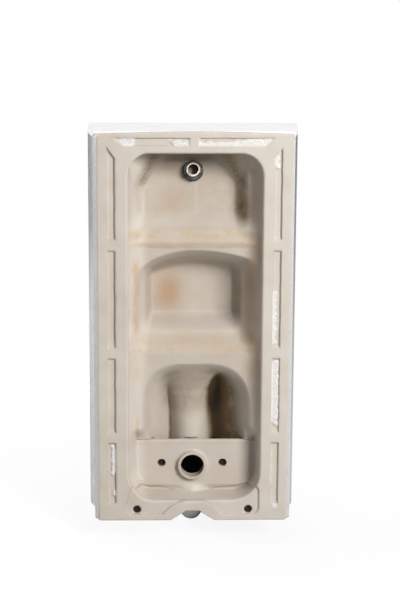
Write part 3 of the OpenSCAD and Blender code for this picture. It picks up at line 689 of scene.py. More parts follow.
@dataclass
class BackShape:
    """Sizes of the cast back, in millimetres, and its depth from the wall at each point."""

    half: float = 165.0
    flare: float = 7.0
    frame_depth: float = 14.0
    top: float = 599.8
    arch: float = 3.8
    corner: float = 4.0
    notch_offsets: tuple = (0.0, 12.0, 15.0, 18.0, 36.0, 38.0, 40.0)
    notch_heights: tuple = (-70.5, -71.0, -72.2, -75.0, -86.5, -87.7, -88.0)
    opening_half: float = 117.5
    opening_top: float = 563.0
    opening_bottom: float = -52.0
    top_radius: float = 38.0
    bottom_radius: float = 50.0
    lip: float = 4.5
    lip_shift: float = 5.5
    edge: float = 2.5
    groove_inner: float = 136.0
    groove_outer: float = 150.0
    groove_depth: float = 5.0
    groove_slope: float = 3.2
    panel_depth: float = 4.5
    collar_height: float = -115.5
    collar_radius: float = 63.5
    web_depth: float = 36.0
    plate_top: float = 46.0
    plate_depth: float = 50.0
    upper_middle: float = 6.0
    dish_floor: float = 72.0
    middle_floor: float = 109.0
    lower_floor: float = 114.0
    mouth_foot: float = 90.0
    mouth_rise: float = 101.0
    column_middle: float = 3.0
    column_heights: tuple = (-60, 40, 66, 94, 110, 127, 140, 154, 166, 178, 190)
    column_halves: tuple = (38, 37.0, 35.5, 37.5, 41.5, 48.5, 57.0, 69.0, 84.0, 102.0, 124.0)
    crown_heights: tuple = (-60, 46, 70, 94, 115, 132, 150, 165, 176, 184, 192)
    crown_depths: tuple = (62, 62, 64, 66, 67, 66, 61.5, 55, 48.5, 42.5, 36)
    spud_height: float = 522.0
    spud_depth: float = 84.0
    lean: float = 15.0
    bolt_height: float = -69.0
    bolt_offset: float = 98.0
    bolt_radius: float = 7.5
    flange_height: float = 3.0
    flange_offset: float = 54.5
    horn_radius: float = 25.5
    horn_bore: float = 20.5
    horn_near: float = 40.0
    horn_far: float = 62.0
    horn_room: float = 29.0

    def corner_fall(self, x: np.ndarray) -> np.ndarray:
        """How far the frame's rounded outer corners fall back at each distance from its middle."""
        return quarter_round(self.corner, np.clip(np.abs(x) - (self.half - self.corner), 0, self.corner))

    def top_line(self, x: np.ndarray) -> np.ndarray:
        """Height of the frame's arched top edge, a parabola with rounded corners."""
        return self.top - self.arch * (x / self.half) ** 2 - self.corner_fall(x)

    def bottom_line(self, x: np.ndarray) -> np.ndarray:
        """Height of the frame's lower edge, with the notch in its middle and rounded corners."""
        return np.interp(np.abs(x), self.notch_offsets, self.notch_heights) + self.corner_fall(x)

    def shifted(self, x: np.ndarray, z: np.ndarray) -> np.ndarray:
        """Widths after the casting's own unevenness: the opening's lip on the +X side lies further in."""
        share = window(x, 60, 50, 136, 18.5) * smooth((z + 62) / 30)
        return x - self.lip_shift * share

    def opening_distance(self, x: np.ndarray, z: np.ndarray) -> np.ndarray:
        """Distance outside the back opening's outline."""
        return box_distance(
            x,
            z,
            half=self.opening_half,
            low=self.opening_bottom,
            high=self.opening_top,
            low_radius=self.bottom_radius,
            high_radius=self.top_radius,
        )

    def opening_half_at(self, z: np.ndarray) -> np.ndarray:
        """Half width of the opening at a height."""
        up = np.clip(z - (self.opening_top - self.top_radius), 0, self.top_radius)
        down = np.clip(self.opening_bottom + self.bottom_radius - z, 0, self.bottom_radius)
        cut = quarter_round(self.top_radius, up) + quarter_round(self.bottom_radius, down)
        return self.opening_half - cut

    def grooves(self) -> list:
        """Grooves of the +X side: corners anticlockwise, and where white glaze was left in them.

        The glaze is given as (side of x, lower end, upper end, share of the width) runs.
        """
        a, b = self.groove_inner, self.groove_outer
        return [
            (
                [(a, -56.5), (b, -56.5), (b, 54.5), (a, 54.5)],
                [(1, -8, 50, 0.55), (1, -50, -30, 0.3), (-1, -30, 40, 0.3)],
            ),
            (
                [(a, 73.5), (b, 73.5), (b, 206.5), (a, 206.5)],
                [(-1, 84, 206, 0.95)],
            ),
            (
                [(a, 225.5), (b, 225.5), (b, 396.5), (a, 396.5)],
                [(-1, 228, 330, 0.55), (1, 300, 312, 0.2)],
            ),
            (
                [(a, 415.5), (b, 415.5), (b, 575.0), (a, 556.0)],
                [(-1, 536, 574, 0.7)],
            ),
        ]

    def top_groove(self) -> list:
        """Corners of the top groove on the +X side."""
        a = self.groove_inner
        return [(8.0, 576.0), (a - 14.0, 576.0), (a, 590.0), (8.0, 590.0)]

    def side_fill(self, x: np.ndarray, z: np.ndarray, runs: list, ragged: np.ndarray) -> np.ndarray:
        """Share of a side groove that its runs of glaze fill, each with ragged ends and a ragged edge."""
        fill = np.zeros_like(x)
        for side, low, high, width in runs:
            along = np.minimum(z - low, high - z) / 9.0 + ragged
            reach = (self.groove_outer - self.groove_inner) * width
            across = reach - (np.abs(x) - self.groove_inner) + 3.0 * ragged
            fill = np.maximum(fill, smooth(along) * smooth(across / 3.0) * (np.sign(x) == side))
        return fill

    def top_fill(self, x: np.ndarray, z: np.ndarray, ragged: np.ndarray) -> np.ndarray:
        """Share of the top grooves that glaze fills: two stretches on the +X side, most of the other."""
        stretch = smooth((46.0 - x + 10 * ragged) / 12.0) * smooth((x - 2) / 4)
        stretch = stretch * smooth((587.0 - z + 2 * ragged) / 3.0)
        corner = smooth((14.0 - np.hypot(x - 118.0, z - 580.0) + 5 * ragged) / 6.0)
        edge = 585.5 + 3.0 * ragged - z + 4 * smooth((-x - 60) / 30)
        other = smooth((-x - 2) / 4) * smooth(edge / 3.5)
        return np.clip(np.maximum(np.maximum(stretch * 0.9, corner), other), 0, 1)

    def panel_distance(self, x: np.ndarray, z: np.ndarray) -> np.ndarray:
        """Signed distance to the sunk panel with the bolt holes, which stops at the raised collar."""
        panel = box_distance(x, z, half=118.0, low=-79.0, high=-22.0, low_radius=14.0, high_radius=14.0)
        collar = np.hypot(x, z - self.collar_height) - self.collar_radius
        return np.maximum(panel, -collar)

    def frame_surface(self, x: np.ndarray, z: np.ndarray) -> tuple:
        """Depth of the frame, the glaze left on it, and how much darker it is along the grooves' and the sunk
        panel's edges.

        The lip and the outer edge are quarter rounds, each groove sinks by a smooth step of its
        signed distance, and the panel by the bolt holes sinks round the raised collar.
        """
        lip = np.clip(self.lip - self.opening_distance(x, z), 0, self.lip)
        inside = np.minimum(self.half - np.abs(x), np.minimum(self.top_line(x) - z, z - self.bottom_line(x)))
        rim = np.clip(self.edge - inside, 0, self.edge)
        depth = quarter_round(self.lip, lip) + quarter_round(self.edge, rim)
        glaze = np.zeros_like(x)
        grime = np.zeros_like(x)
        ragged = ripple(x, 0 * x, z, 14.0, 5.0)
        worn = 0.9 + 0.5 * ripple(x, 0 * x, z, 31.0, 2.0)
        for corners, runs in self.grooves():
            sunk = polygon_distance(np.abs(x) + 1.4 * (x > 0), z, corners)
            fill = self.side_fill(x, z, runs, ragged)
            depth = depth + self.groove_depth * smooth((worn - sunk) / self.groove_slope) * (1 - 0.4 * fill)
            glaze = np.maximum(glaze, fill * smooth((1.5 - sunk) / 3.0))
            # Darker along both edges of each groove.
            grime = np.maximum(grime, 0.28 * smooth((2.0 - np.abs(sunk)) / 2.0) * (0.5 + 0.5 * ragged))
        sunk = polygon_distance(np.abs(x), z, self.top_groove())
        fill = self.top_fill(x, z, ragged)
        depth = depth + self.groove_depth * smooth((worn - sunk) / self.groove_slope) * (1 - 0.45 * fill)
        glaze = np.maximum(glaze, fill * smooth((1.5 - sunk) / 3.0))
        spot = smooth((7.0 - np.hypot(x + 143.0, z + 62.0) + 3 * ragged) / 4.0)
        glaze = np.maximum(glaze, 0.75 * spot)
        sunk = self.panel_distance(x, z)
        depth = depth + self.panel_depth * smooth((0.5 - sunk) / 4.0)
        # Darker along the sunk panel's edge.
        grime = np.maximum(grime, 0.35 * smooth((2.5 - np.abs(sunk + 2.0)) / 2.5) * (0.6 + 0.4 * ragged))
        hole = np.hypot(np.abs(x) - self.bolt_offset, z - self.bolt_height) - self.bolt_radius
        depth = depth + 1.2 * smooth((1.6 - hole) / 1.6)
        depth = depth + 0.3 * ripple(x, 0 * x, z, 90.0, 1.0)
        return np.maximum(depth, 0.0), glaze, grime

    def trough(self, x: np.ndarray, z: np.ndarray) -> np.ndarray:
        """Depth of the broad trough that the webs' crests lie on, with two low ridges on the upper web.

        It falls from the frame along a cubic of the distance inside the opening. A groove parts the
        two ridges, and a broader, lower swell crosses the lower web.
        """
        inside = np.clip(-self.opening_distance(x, z) / 46.0, 0, 1)
        fall = (self.web_depth - self.frame_depth) * (1 - (1 - inside) ** 3)
        ridges = bell(z, 426, 5.0) + 0.9 * bell(z, 404, 4.5) - 0.8 * bell(z, 414, 5.0)
        ridges = ridges + 0.3 * bell(z, 206, 12.0)
        return self.frame_depth + fall - 1.5 * ridges * smooth(inside * 2)

    def facet_line(self, x: np.ndarray, z: np.ndarray) -> np.ndarray:
        """Measure that grows outward and upward across the slanted facets of the upper pocket."""
        return 0.900 * np.abs(x - 4.0) + 0.500 * z

    def upper_pocket(self, x: np.ndarray, z: np.ndarray, base: np.ndarray) -> np.ndarray:
        """Upper pocket with its leaning floor and the slanted facets in its top corners.

        Its wall is a power curve on the +X side. On the other it drops a little to a narrow shelf,
        and by a second smooth step to the floor.
        """
        near = x > self.upper_middle
        reach = np.where(near, self.opening_half - x, self.opening_half + x)
        wide = np.where(near, self.opening_half - 87.0, self.opening_half - 68.0)
        u = np.clip(reach / wide, 0, 1)
        shelf = 0.22 * smooth(u / 0.45) + 0.78 * smooth((u - 0.42) / 0.52)
        across = np.where(near, 1 - (1 - u) ** 1.7, shelf)
        up = smooth((z - 410) / 42)
        down = 1 - (1 - np.clip((self.opening_top - z) / 16, 0, 1)) ** 3
        leaning = self.spud_depth - (self.spud_height - z) * np.tan(np.radians(self.lean))
        depth = base + (leaning - base) * across * up * down
        facet = 400.0 - self.facet_line(x, z) + 1.2 * ripple(x, 0 * x, z, 30.0, 6.0)
        return np.where(z > 470, soft_min(depth, np.maximum(facet, self.frame_depth), 5.0), depth)

    def middle_pocket(self, x: np.ndarray, z: np.ndarray, base: np.ndarray) -> np.ndarray:
        """Middle pocket: a wide dish with a steeper step down to its floor, and a long slope below.

        Its top edge is a parabola, more bent on the +X side.
        """
        top = 393.0 - np.where(x > 0, 0.0034, 0.0016) * x**2
        beside = self.opening_half - np.abs(x)
        dish = smooth((beside - np.where(x > 0, 6.0, 0.0)) / 36)
        down = np.clip((top - z) / 36, 0, 1)
        down = down * down * 1.2 / (down + 0.2)
        dish = dish * (1 - (1 - np.minimum(down, 1)) ** 1.8) * smooth((z - 206) / 52)
        sunk = smooth((beside - 30) / 17) * smooth((top - 12 - z) / 32) * smooth((z - 242) / 26)
        return base + (self.dish_floor - base) * dish + (self.middle_floor - self.dish_floor) * sunk

    def lower_pocket(self, x: np.ndarray, z: np.ndarray, base: np.ndarray) -> np.ndarray:
        """Lower pocket round the column.

        Its mouth is a superellipse of power three, wider at the foot on the -X side, and its walls
        lean in down to a valley at each side of the column. The column is half an ellipse across,
        and it is waisted and swells toward its top.
        """
        low = smooth((self.mouth_foot - z) / 60)
        half = np.where(x > -5, 100.0, 98.0 + 10.0 * low)
        across = np.abs(x + 5.0) / half
        up = np.maximum(z - self.mouth_foot, 0) / self.mouth_rise
        inside = np.maximum(1 - np.cbrt(across**3 + up**3), 0) * 100
        t = np.clip(inside / 74.0, 0, 1)
        t = t * t * 1.12 / (t + 0.12)
        depth = base + (self.lower_floor - base) * (1 - (1 - np.minimum(t, 1)) ** 1.35)
        valley = self.lower_floor + 4
        crown = np.interp(z, self.crown_heights, self.crown_depths)
        half = np.interp(z, self.column_heights, self.column_halves)
        reach = np.clip(np.abs(x - self.column_middle) / half, 0, 1)
        column = crown + (valley - crown) * quarter_round(1.0, reach)
        return np.maximum(soft_min(depth, np.where(reach < 1, column, valley), 7.0), base)

    def plate_walls(self, x: np.ndarray, z: np.ndarray) -> np.ndarray:
        """Depth of the walls round the outlet plate: sloping on the +X side, steep elsewhere."""
        inside = np.maximum(-self.opening_distance(x, z), 0)
        steep = 2.6 + 3.2 * smooth((20 - x) / 60) + 5.0 * smooth((-26 - z) / 20)
        return self.frame_depth + steep * inside

    def plate_face(self, x: np.ndarray, z: np.ndarray) -> np.ndarray:
        """Face of the outlet plate with its walls and the moat below it.

        A quarter round breaks its top edge, a fillet rises to the horn, a low saddle crosses the
        middle of the moat, and the face meets the walls in a soft hollow.
        """
        radius = 4.5
        face = self.plate_depth + 0.4 * ripple(x, 0 * x, z, 70.0, 8.0)
        over = np.clip(radius - (self.plate_top - z), 0, radius)
        face = face + quarter_round(radius, over)
        reach = np.hypot(x, z)
        climb = np.clip(1 - (reach - self.horn_radius) / 5.0, 0, 1)
        face = face - 5.0 * quarter_round(1.0, climb)
        hollow = smooth((-36 - z) / 10) * smooth((np.abs(x) - 12) / 20)
        saddle = smooth((-34 - z) / 14) * bell(x, 0.0, 13.0)
        return soft_min(self.plate_walls(x, z), face + 4.0 * hollow - 7.0 * saddle, 9.0)

    def cavity(self, x: np.ndarray, z: np.ndarray) -> np.ndarray:
        """Depth of the pockets and webs inside the back opening, without the outlet plate."""
        base = self.trough(x, z)
        depth = np.maximum(self.upper_pocket(x, z, base), self.middle_pocket(x, z, base))
        depth = np.maximum(depth, self.lower_pocket(x, z, base))
        beside_plate = smooth((self.plate_top + 28 - z) / 28)
        walls = np.minimum(self.plate_walls(x, z), self.plate_depth)
        return depth + beside_plate * np.maximum(walls - depth, 0)


# Pieces of the back


@dataclass
class CastBack:
    """The unglazed back: frame, mounting rail, pockets, webs, outlet plate and horn."""

    shape: BackShape
    wall: float = 9.0
    plate_wall: float = 11.0
    clearance: float = 7.0
    slot: str = "unglazed_china"
    frame_crease: float = 60.0
    cavity_crease: float = 75.0
    horn_crease: float = 50.0

    def side_lines(self) -> np.ndarray:
        """Distances of the upright lines of the frame's sides, dense at the grooves and edges."""
        s = self.shape
        return spaced(
            [
                (s.opening_half, s.opening_half + 5, 8),
                (s.opening_half + 5, s.groove_inner - 2, 5),
                (s.groove_inner - 2, s.groove_inner + 3, 7),
                (s.groove_inner + 3, s.groove_outer - 3, 6),
                (s.groove_outer - 3, s.groove_outer + 2, 7),
                (s.groove_outer + 2, s.half - 4, 4),
                (s.half - 4, s.half - 0.4, 8),
                (s.half - 0.4, s.half, 1),
            ]
        )

    def close_frame(self, shell: Shell) -> None:
        """Gives the frame its depth, flared and glazed at the outer edge."""
        s = self.shape
        front = shell.points
        outer = np.abs(front[:, 0]) > s.half - 0.05
        shell.values["glaze"] = np.where(outer, 0.9, shell.values["glaze"])
        back = front.copy()
        flare = s.flare * smooth((np.abs(back[:, 0]) - (s.half - 15)) / 15)
        back[:, 0] += np.sign(back[:, 0]) * flare
        back[:, 1] = -s.frame_depth
        shell.close_with(back)

    def front(self, x: np.ndarray, z: np.ndarray) -> tuple:
        """Grid of points on the frame's face, with its glaze, its darker edges and its paler tone."""
        depth, glaze, grime = self.shape.frame_surface(x, z)
        # Painted light: paler toward -X, the side that the key lamp lights, over an overall paler tone with
        # random variation.
        pale = -0.65 + 0.30 * smooth((x + 110) / 220) + 0.25 * ripple(x, 0 * x, z, 48.0, 9.0)
        values = {"glaze": glaze, "grime": grime, "blush": pale}
        return np.stack([self.shape.shifted(x, z), -depth, z], axis=-1), values

    def lines_across(self, radius: float, bend_steps: int, flat_steps: int) -> tuple:
        """Upright lines across the whole frame, above or below the opening.

        Args:
            radius: radius of the opening's corners there.
            bend_steps, flat_steps: number of lines over each corner and between the two.

        Returns:
            The lines, and how far the opening's rounded corner cuts in at each.
        """
        s = self.shape
        flat = s.opening_half - radius
        side = self.side_lines()
        middle = spaced(
            [
                (-s.opening_half, -flat, bend_steps),
                (-flat, flat, flat_steps),
                (flat, s.opening_half, bend_steps),
            ]
        )
        lines = np.concatenate([-side[::-1], middle[1:-1], side])
        return lines, quarter_round(radius, np.clip(np.abs(lines) - flat, 0, radius))

    def add_strip(
        self,
        shell: Shell,
        lines: np.ndarray,
        ends: tuple,
        shares: np.ndarray,
        holes: list,
    ) -> None:
        """Adds the frame's face between two curves.

        Args:
            shell: takes the faces.
            lines: distances of the upright lines from the middle.
            ends: heights of the lower and of the upper curve on each line.
            shares: shares of the way between the curves at which the rows lie.
            holes: circles that the nearest points are drawn onto.
        """
        low, high = ends
        z = low[None, :] + shares[:, None] * (high - low)[None, :]
        x = np.broadcast_to(lines[None, :], z.shape)
        x, z = snap_to_circles(x, z, holes, 0.9)
        grid, values = self.front(x, z)
        shell.add_grid(grid, flip=True, **values)

    def frame(self) -> Shell:
        """Sides and arched top of the frame, as grids that follow the opening's outline."""
        s = self.shape
        shell = Shell()
        bend = s.opening_top - s.top_radius
        heights = spaced([(s.opening_bottom + s.bottom_radius, bend, 300)])
        for sign in (1.0, -1.0):
            x, z = np.meshgrid(self.side_lines() * sign, heights)
            grid, values = self.front(x, z)
            shell.add_grid(grid, flip=sign > 0, **values)
        lines, arc = self.lines_across(s.top_radius, 34, 90)
        low = np.where(np.abs(lines) < s.opening_half, s.opening_top - arc, bend)
        shares = spaced(
            [
                (0, 0.14, 10),
                (0.14, 0.32, 7),
                (0.32, 0.45, 9),
                (0.45, 0.62, 11),
                (0.62, 0.78, 9),
                (0.78, 0.93, 6),
                (0.93, 0.99, 8),
                (0.99, 1, 1),
            ]
        )
        self.add_strip(shell, lines, (low, s.top_line(lines)), shares, [])
        shell.merge()
        self.close_frame(shell)
        return shell

    def rail(self) -> Shell:
        """Lower rail with the notch, the collar and the bolt holes."""
        s = self.shape
        shell = Shell()
        foot = s.opening_bottom + s.bottom_radius
        lines, arc = self.lines_across(s.bottom_radius, 64, 130)
        high = np.where(np.abs(lines) < s.opening_half, s.opening_bottom + arc, foot)
        shares = spaced([(0, 0.12, 8), (0.12, 0.88, 54), (0.88, 1, 10)])
        holes = [(side * s.bolt_offset, s.bolt_height, s.bolt_radius) for side in (-1, 1)]
        self.add_strip(shell, lines, (s.bottom_line(lines), high), shares, holes)
        shell.merge()
        shell.cut_holes(holes)
        self.close_frame(shell)
        self.shade_holes(shell, holes, s.frame_depth)
        return shell

    def columns(self) -> np.ndarray:
        """Shares of the opening's half width at which the cavity's upright lines lie."""
        right = spaced([(0, 0.52, 40), (0.52, 0.9, 46), (0.9, 1.0, 18)])
        return np.concatenate([-right[:0:-1], right])

    def wobble(self, x: np.ndarray, z: np.ndarray) -> np.ndarray:
        """Millimetres by which the edge of a stain wanders."""
        return 3.0 * ripple(x, 0 * x, z, 60.0, 7.0)

    def patches(self, x: np.ndarray, z: np.ndarray) -> np.ndarray:
        """Uneven strength of a stain, 0.2 to 1."""
        return 0.6 + 0.4 * ripple(x, 0 * x, z, 44.0, 2.0)

    def rust(self, x: np.ndarray, z: np.ndarray) -> np.ndarray:
        """Rust: two bands along each web, a run down each side and a tinge round the lower arch."""
        wobble, patch = self.wobble(x, z), self.patches(x, z)
        bands = 0.62 * bell(z + wobble, 401, 5.0) + 0.70 * bell(z + wobble, 419, 9.0)
        bands = bands + 0.62 * bell(z + 0.5 * wobble, 213, 4.0) + 0.45 * bell(z + wobble, 228, 11.0)
        side = bell(x + 0.6 * wobble, 104, 7.0) * window(z, 225, 30, 392, 30)
        low = bell(x + wobble, 102, 4.0) * window(z, 40, 12, 105, 25)
        far = bell(x, -104, 12.0) * window(z, 215, 20, 440, 40)
        arch = smooth((np.abs(x) / self.shape.opening_half - 0.7) / 0.2) * window(z, 150, 30, 225, 30)
        return np.clip(bands * patch + 0.95 * side * patch + 0.6 * low + 0.3 * far + 0.3 * arch, 0, 1)

    def painted_lobe_shade(self, x: np.ndarray, z: np.ndarray, depth: np.ndarray) -> np.ndarray:
        """Painted shade in the hollow on the -X side of the column, drawn as a dark brown tint.

        It begins at a curved edge beside the column, fades toward the pocket's wall, and keeps off
        the outlet plate.
        """
        heights = [40, 52, 75, 95, 133, 148, 160, 173, 190]
        edge = np.interp(z, heights, [26, 26, 23, 20, 20, 25, 33, 44, 62])
        painted_lobe_shade = smooth((depth - 42) / 28) * smooth((-x - edge) / 15) * smooth((190 - z) / 14)
        painted_lobe_shade = painted_lobe_shade * np.where(z < 48, smooth((depth - 60) / 8), 1.0)
        return painted_lobe_shade * (1.42 - 0.66 * smooth((-x - 46) / 36))

    def grime(self, x: np.ndarray, z: np.ndarray, depth: np.ndarray) -> np.ndarray:
        """Brown dirt: streaks on the corner facets and a line along the moat, with a thin darker line under
        the web's crest.

        Painted shade in the same brown lies beside the column on the -X side, on the column's upper part, in
        the -X corners of the upper and the middle pocket, and grows with depth on the deep pocket bottoms.
        Black painted shade lies where the waterway behind the outlet plate begins.
        """
        streaks = 0.5 + 0.5 * ripple(x, 0 * x, z, 7.0, 4.0)
        facets = bell(self.shape.facet_line(x, z), 332.0, 9.0) * smooth((z - 490) / 20)
        facets = facets * (0.25 + 0.75 * streaks)
        crest = bell(z + 0.4 * self.wobble(x, z), 396, 1.6) * smooth((100 - np.abs(x)) / 30)
        crest = crest * self.patches(x, z)
        line = -47 + 0.0012 * x**2 + 2.0 * ripple(x, 0 * x, 0 * z, 30.0, 3.0)
        moat = bell(z, line, 1.5) * window(np.abs(x), 24, 14, 112, 10)
        # Painted shade: the column's upper part, and the -X corners of the upper and the middle pocket.
        painted_neck_shade = window(z, 74, 40, 186, 10) * smooth((depth - 44) / 14) * smooth((60 - np.abs(x - 4)) / 20)
        painted_nook_shade = bell(x, -88, 17.0) * window(z, 428, 26, 534, 70)
        painted_nook_shade = painted_nook_shade + 0.3 * bell(x, -86, 13.0) * bell(z, 456, 22.0)
        painted_fold_shade = bell(x, -80, 10.0) * window(z, 256, 14, 360, 60)
        # Painted shade: darker with depth on the pocket bottoms, more in the upper pocket.
        painted_floor_shade = 0.10 * smooth((depth - 60) / 50) + 0.20 * smooth((z - 438) / 20) * smooth((depth - 46) / 15)
        lines = 0.75 * facets + 0.40 * crest + 0.5 * moat
        painted_hollow_shade = self.painted_lobe_shade(x, z, depth) + 0.46 * painted_neck_shade + 0.68 * painted_nook_shade + 0.42 * painted_fold_shade
        # Painted shade: black where the waterway behind the outlet plate begins.
        painted_passage_black = smooth((34 - z) / 14) * smooth((depth - 62) / 6)
        return np.clip(lines + painted_hollow_shade + painted_floor_shade, 0, 1.6) + 2.0 * painted_passage_black

    def blush(self, x: np.ndarray, z: np.ndarray, depth: np.ndarray) -> np.ndarray:
        """Pink tint above 0 and paler below 0.

        Pink lies on the bottoms of the middle and the upper pocket and low in the lower one. A thin pale
        streak runs down the upper pocket's bottom. The paleness on the webs' slopes, the +X walls, the middle
        of the moat and low down is painted light on faces that the lamps light.
        """
        spots = 0.95 * bell(x, 42, 24.0) * bell(z, 302, 38.0) + 0.4 * bell(x, 34, 26.0) * bell(z, 470, 24.0)
        deep = smooth((depth - 90) / 20) * smooth((30 - np.abs(x)) / 30) * smooth((190 - z) / 20)
        streak = bell(x + 0.02 * (z - 440), -5.0, 1.8) * window(z, 445, 12, 508, 8)
        # Painted light: webs' slopes, +X walls, middle of the moat and low down drawn paler.
        pale = 0.6 * bell(z, 248, 16.0) + 0.35 * bell(z, 432, 12.0)
        pale = pale + 0.6 * smooth((x / self.shape.opening_half - 0.66) / 0.2)
        pale = pale + 0.7 * smooth((-32 - z) / 10) * bell(x, 0, 40.0) + 0.2 * smooth((40 - z) / 10)
        return np.clip(spots + 0.3 * deep - 0.4 * streak - pale, -1, 1)

    def opening_grid(self, steps: list, circles: list, band: float) -> tuple:
        """Points across the opening between two heights, drawn onto the circles within a band of them."""
        heights = spaced(steps)
        share = self.columns()
        z = np.broadcast_to(heights[:, None], (len(heights), len(share)))
        x = self.shape.opening_half_at(z) * share[None, :]
        return snap_to_circles(x, z, circles, band)

    def skin(self, x: np.ndarray, z: np.ndarray, depth: np.ndarray, circles: list) -> Shell:
        """Open skin at a depth from the wall, with its stains, dirt, painted shade and painted light, and its
        round holes.
        """
        marks = {
            "stain": self.rust(x, z),
            "grime": self.grime(x, z, depth),
            "blush": self.blush(x, z, depth),
        }
        shell = Shell()
        shell.add_grid(np.stack([self.shape.shifted(x, z), -depth, z], axis=-1), flip=True, **marks)
        shell.merge()
        shell.cut_holes(circles)
        return shell

    def cavity_part(self, steps: list, circles: list) -> Shell:
        """One stretch of the cavity between two heights, as a closed wall with round holes.

        Below the outlet plate's top edge the shallow parts step back by the clearance, so that the
        plate lies before them.
        """
        s = self.shape
        x, z = self.opening_grid(steps, circles, 1.5)
        depth = s.cavity(x, z)
        depth = depth + 0.5 * ripple(x, 0 * x, z, 55.0, 3.0) * smooth((depth - 14) / 10)
        depth = depth + self.clearance * smooth((s.plate_top - z) / 2.0) * smooth((68.0 - depth) / 8.0)
        shell = self.skin(x, z, depth, circles)
        shell.close_with(shell.points - shell.normals() * self.wall)
        return shell

    def plate(self) -> Shell:
        """Outlet plate with the walls beside it and the moat below it, pierced for the horn and two bolts.

        Its back lies along the normals, flattened in height and straight behind the horn's fillet, so
        that the bore stays round.
        """
        s = self.shape
        bolts = [(side * s.flange_offset, s.flange_height, s.bolt_radius) for side in (-1, 1)]
        holes = [(0.0, 0.0, s.horn_radius - 0.6)] + bolts
        steps = [(s.opening_bottom, -44, 24), (-44, -28, 16), (-28, 40, 58), (40, s.plate_top, 12)]
        x, z = self.opening_grid(steps, holes, 0.85)
        shell = self.skin(x, z, s.plate_face(x, z), holes)
        normal = shell.normals()
        beside_horn = smooth((np.hypot(shell.points[:, 0], shell.points[:, 2]) - s.horn_radius) / 10.0)
        normal[:, 0] *= beside_horn
        normal[:, 2] *= 0.3 * beside_horn
        length = np.maximum(np.linalg.norm(normal, axis=1, keepdims=True), 1e-9)
        shell.close_with(shell.points - normal / length * self.plate_wall)
        self.shade_holes(shell, bolts, s.plate_depth + self.plate_wall - 1.0)
        return shell

    def shade_holes(self, shell: Shell, holes: list, depth: float) -> None:
        """Painted shade in bolt holes that go through: a thin black disc in each, just inside the wall's far
        face.
        """
        count = 32
        angle = np.linspace(0, 2 * np.pi, count, endpoint=False)
        for cx, cz, radius in holes:
            r = np.array([0.0, radius - 0.1, radius - 0.1, 0.0])[:, None]
            d = np.array([depth - 2.5, depth - 2.5, depth - 0.2, depth - 0.2])[:, None]
            points = [cx + r * np.cos(angle), np.broadcast_to(-d, (4, count)), cz + r * np.sin(angle)]
            # The attribute value 2.0 makes each disc black: painted shade.
            shell.add_grid(np.stack(points, axis=-1), flip=True, wrap=True, grime=np.full((4, count), 2.0))
        shell.merge()

    def horn(self) -> Shell:
        """Outlet horn: a ring profile with rounded rims, turned about the outlet's axis."""
        s = self.shape
        outer, bore, near, far = s.horn_radius, s.horn_bore, s.horn_near, s.horn_far
        turns = np.linspace(0, np.pi / 2, 9)
        edge, inner = 1.6, 1.0
        profile = [(bore, far)]
        profile += [(bore, d) for d in np.linspace(far - 4, near + inner, 5)]
        profile += [(bore + inner - inner * np.cos(a), near + inner - inner * np.sin(a)) for a in turns[1:]]
        profile += [(outer - edge + edge * np.sin(a), near + edge - edge * np.cos(a)) for a in turns]
        profile += [(outer, d) for d in np.linspace(near + edge + 2, far, 6)]
        profile += [((outer + bore) / 2, far), (bore, far)]
        profile = np.array(profile)
        angle = np.linspace(0, 2 * np.pi, 97)
        wave = 1 + 0.004 * np.sin(3 * angle + 0.7)
        radius, depth = profile[:, :1], profile[:, 1:]
        r = radius * np.where(radius > bore + 0.5, wave[None, :], 1.0)
        grid = np.stack([r * np.cos(angle), np.broadcast_to(-depth, r.shape), r * np.sin(angle)], axis=-1)
        shell = Shell()
        shell.add_grid(grid)
        shell.merge()
        return shell

    def build(self, finishes: dict) -> None:
        """Builds the pieces of the back and lets them stand for their nodes."""
        stains_and_painted_light, plain = finishes[Finish.STAINS_AND_PAINTED_LIGHT], finishes[Finish.BISQUE]
        crease = self.frame_crease
        ride(self.frame().build("cast_wall_frame", stains_and_painted_light, crease), ("wall_frame",))
        ride(self.rail().build("cast_mounting_rail", stains_and_painted_light, crease), ("mounting_rail",))
        pads = ("upper_pocket", "left_hanger_pad", "right_hanger_pad")
        top = [(426, 455, 26), (455, 520, 36), (520, 548, 26), (548, 563, 26)]
        middle = [(240, 275, 30), (275, 345, 40), (345, 392, 44)]
        foot = [(-36, 30, 22), (30, 60, 24), (60, 150, 60), (150, 192, 46)]
        room = [(0.0, 0.0, self.shape.horn_room)]
        parts = [
            ("cast_upper_pocket", top, [], pads),
            ("cast_upper_web", [(392, 426, 30)], [], ("upper_web",)),
            ("cast_middle_pocket", middle, [], ("middle_pocket",)),
            ("cast_lower_web", [(192, 240, 34)], [], ("lower_web",)),
            ("cast_lower_pocket", foot, room, ("lower_pocket", "bowl_back_column")),
        ]
        for name, steps, circles, nodes in parts:
            ride(self.cavity_part(steps, circles).build(name, stains_and_painted_light, self.cavity_crease), nodes)
        ride(self.plate().build("cast_outlet_plate", stains_and_painted_light, crease), ("outlet_plate",))
        ride(self.horn().build("cast_outlet_horn", plain, self.horn_crease), ("outlet_horn",))


# The glazed shell


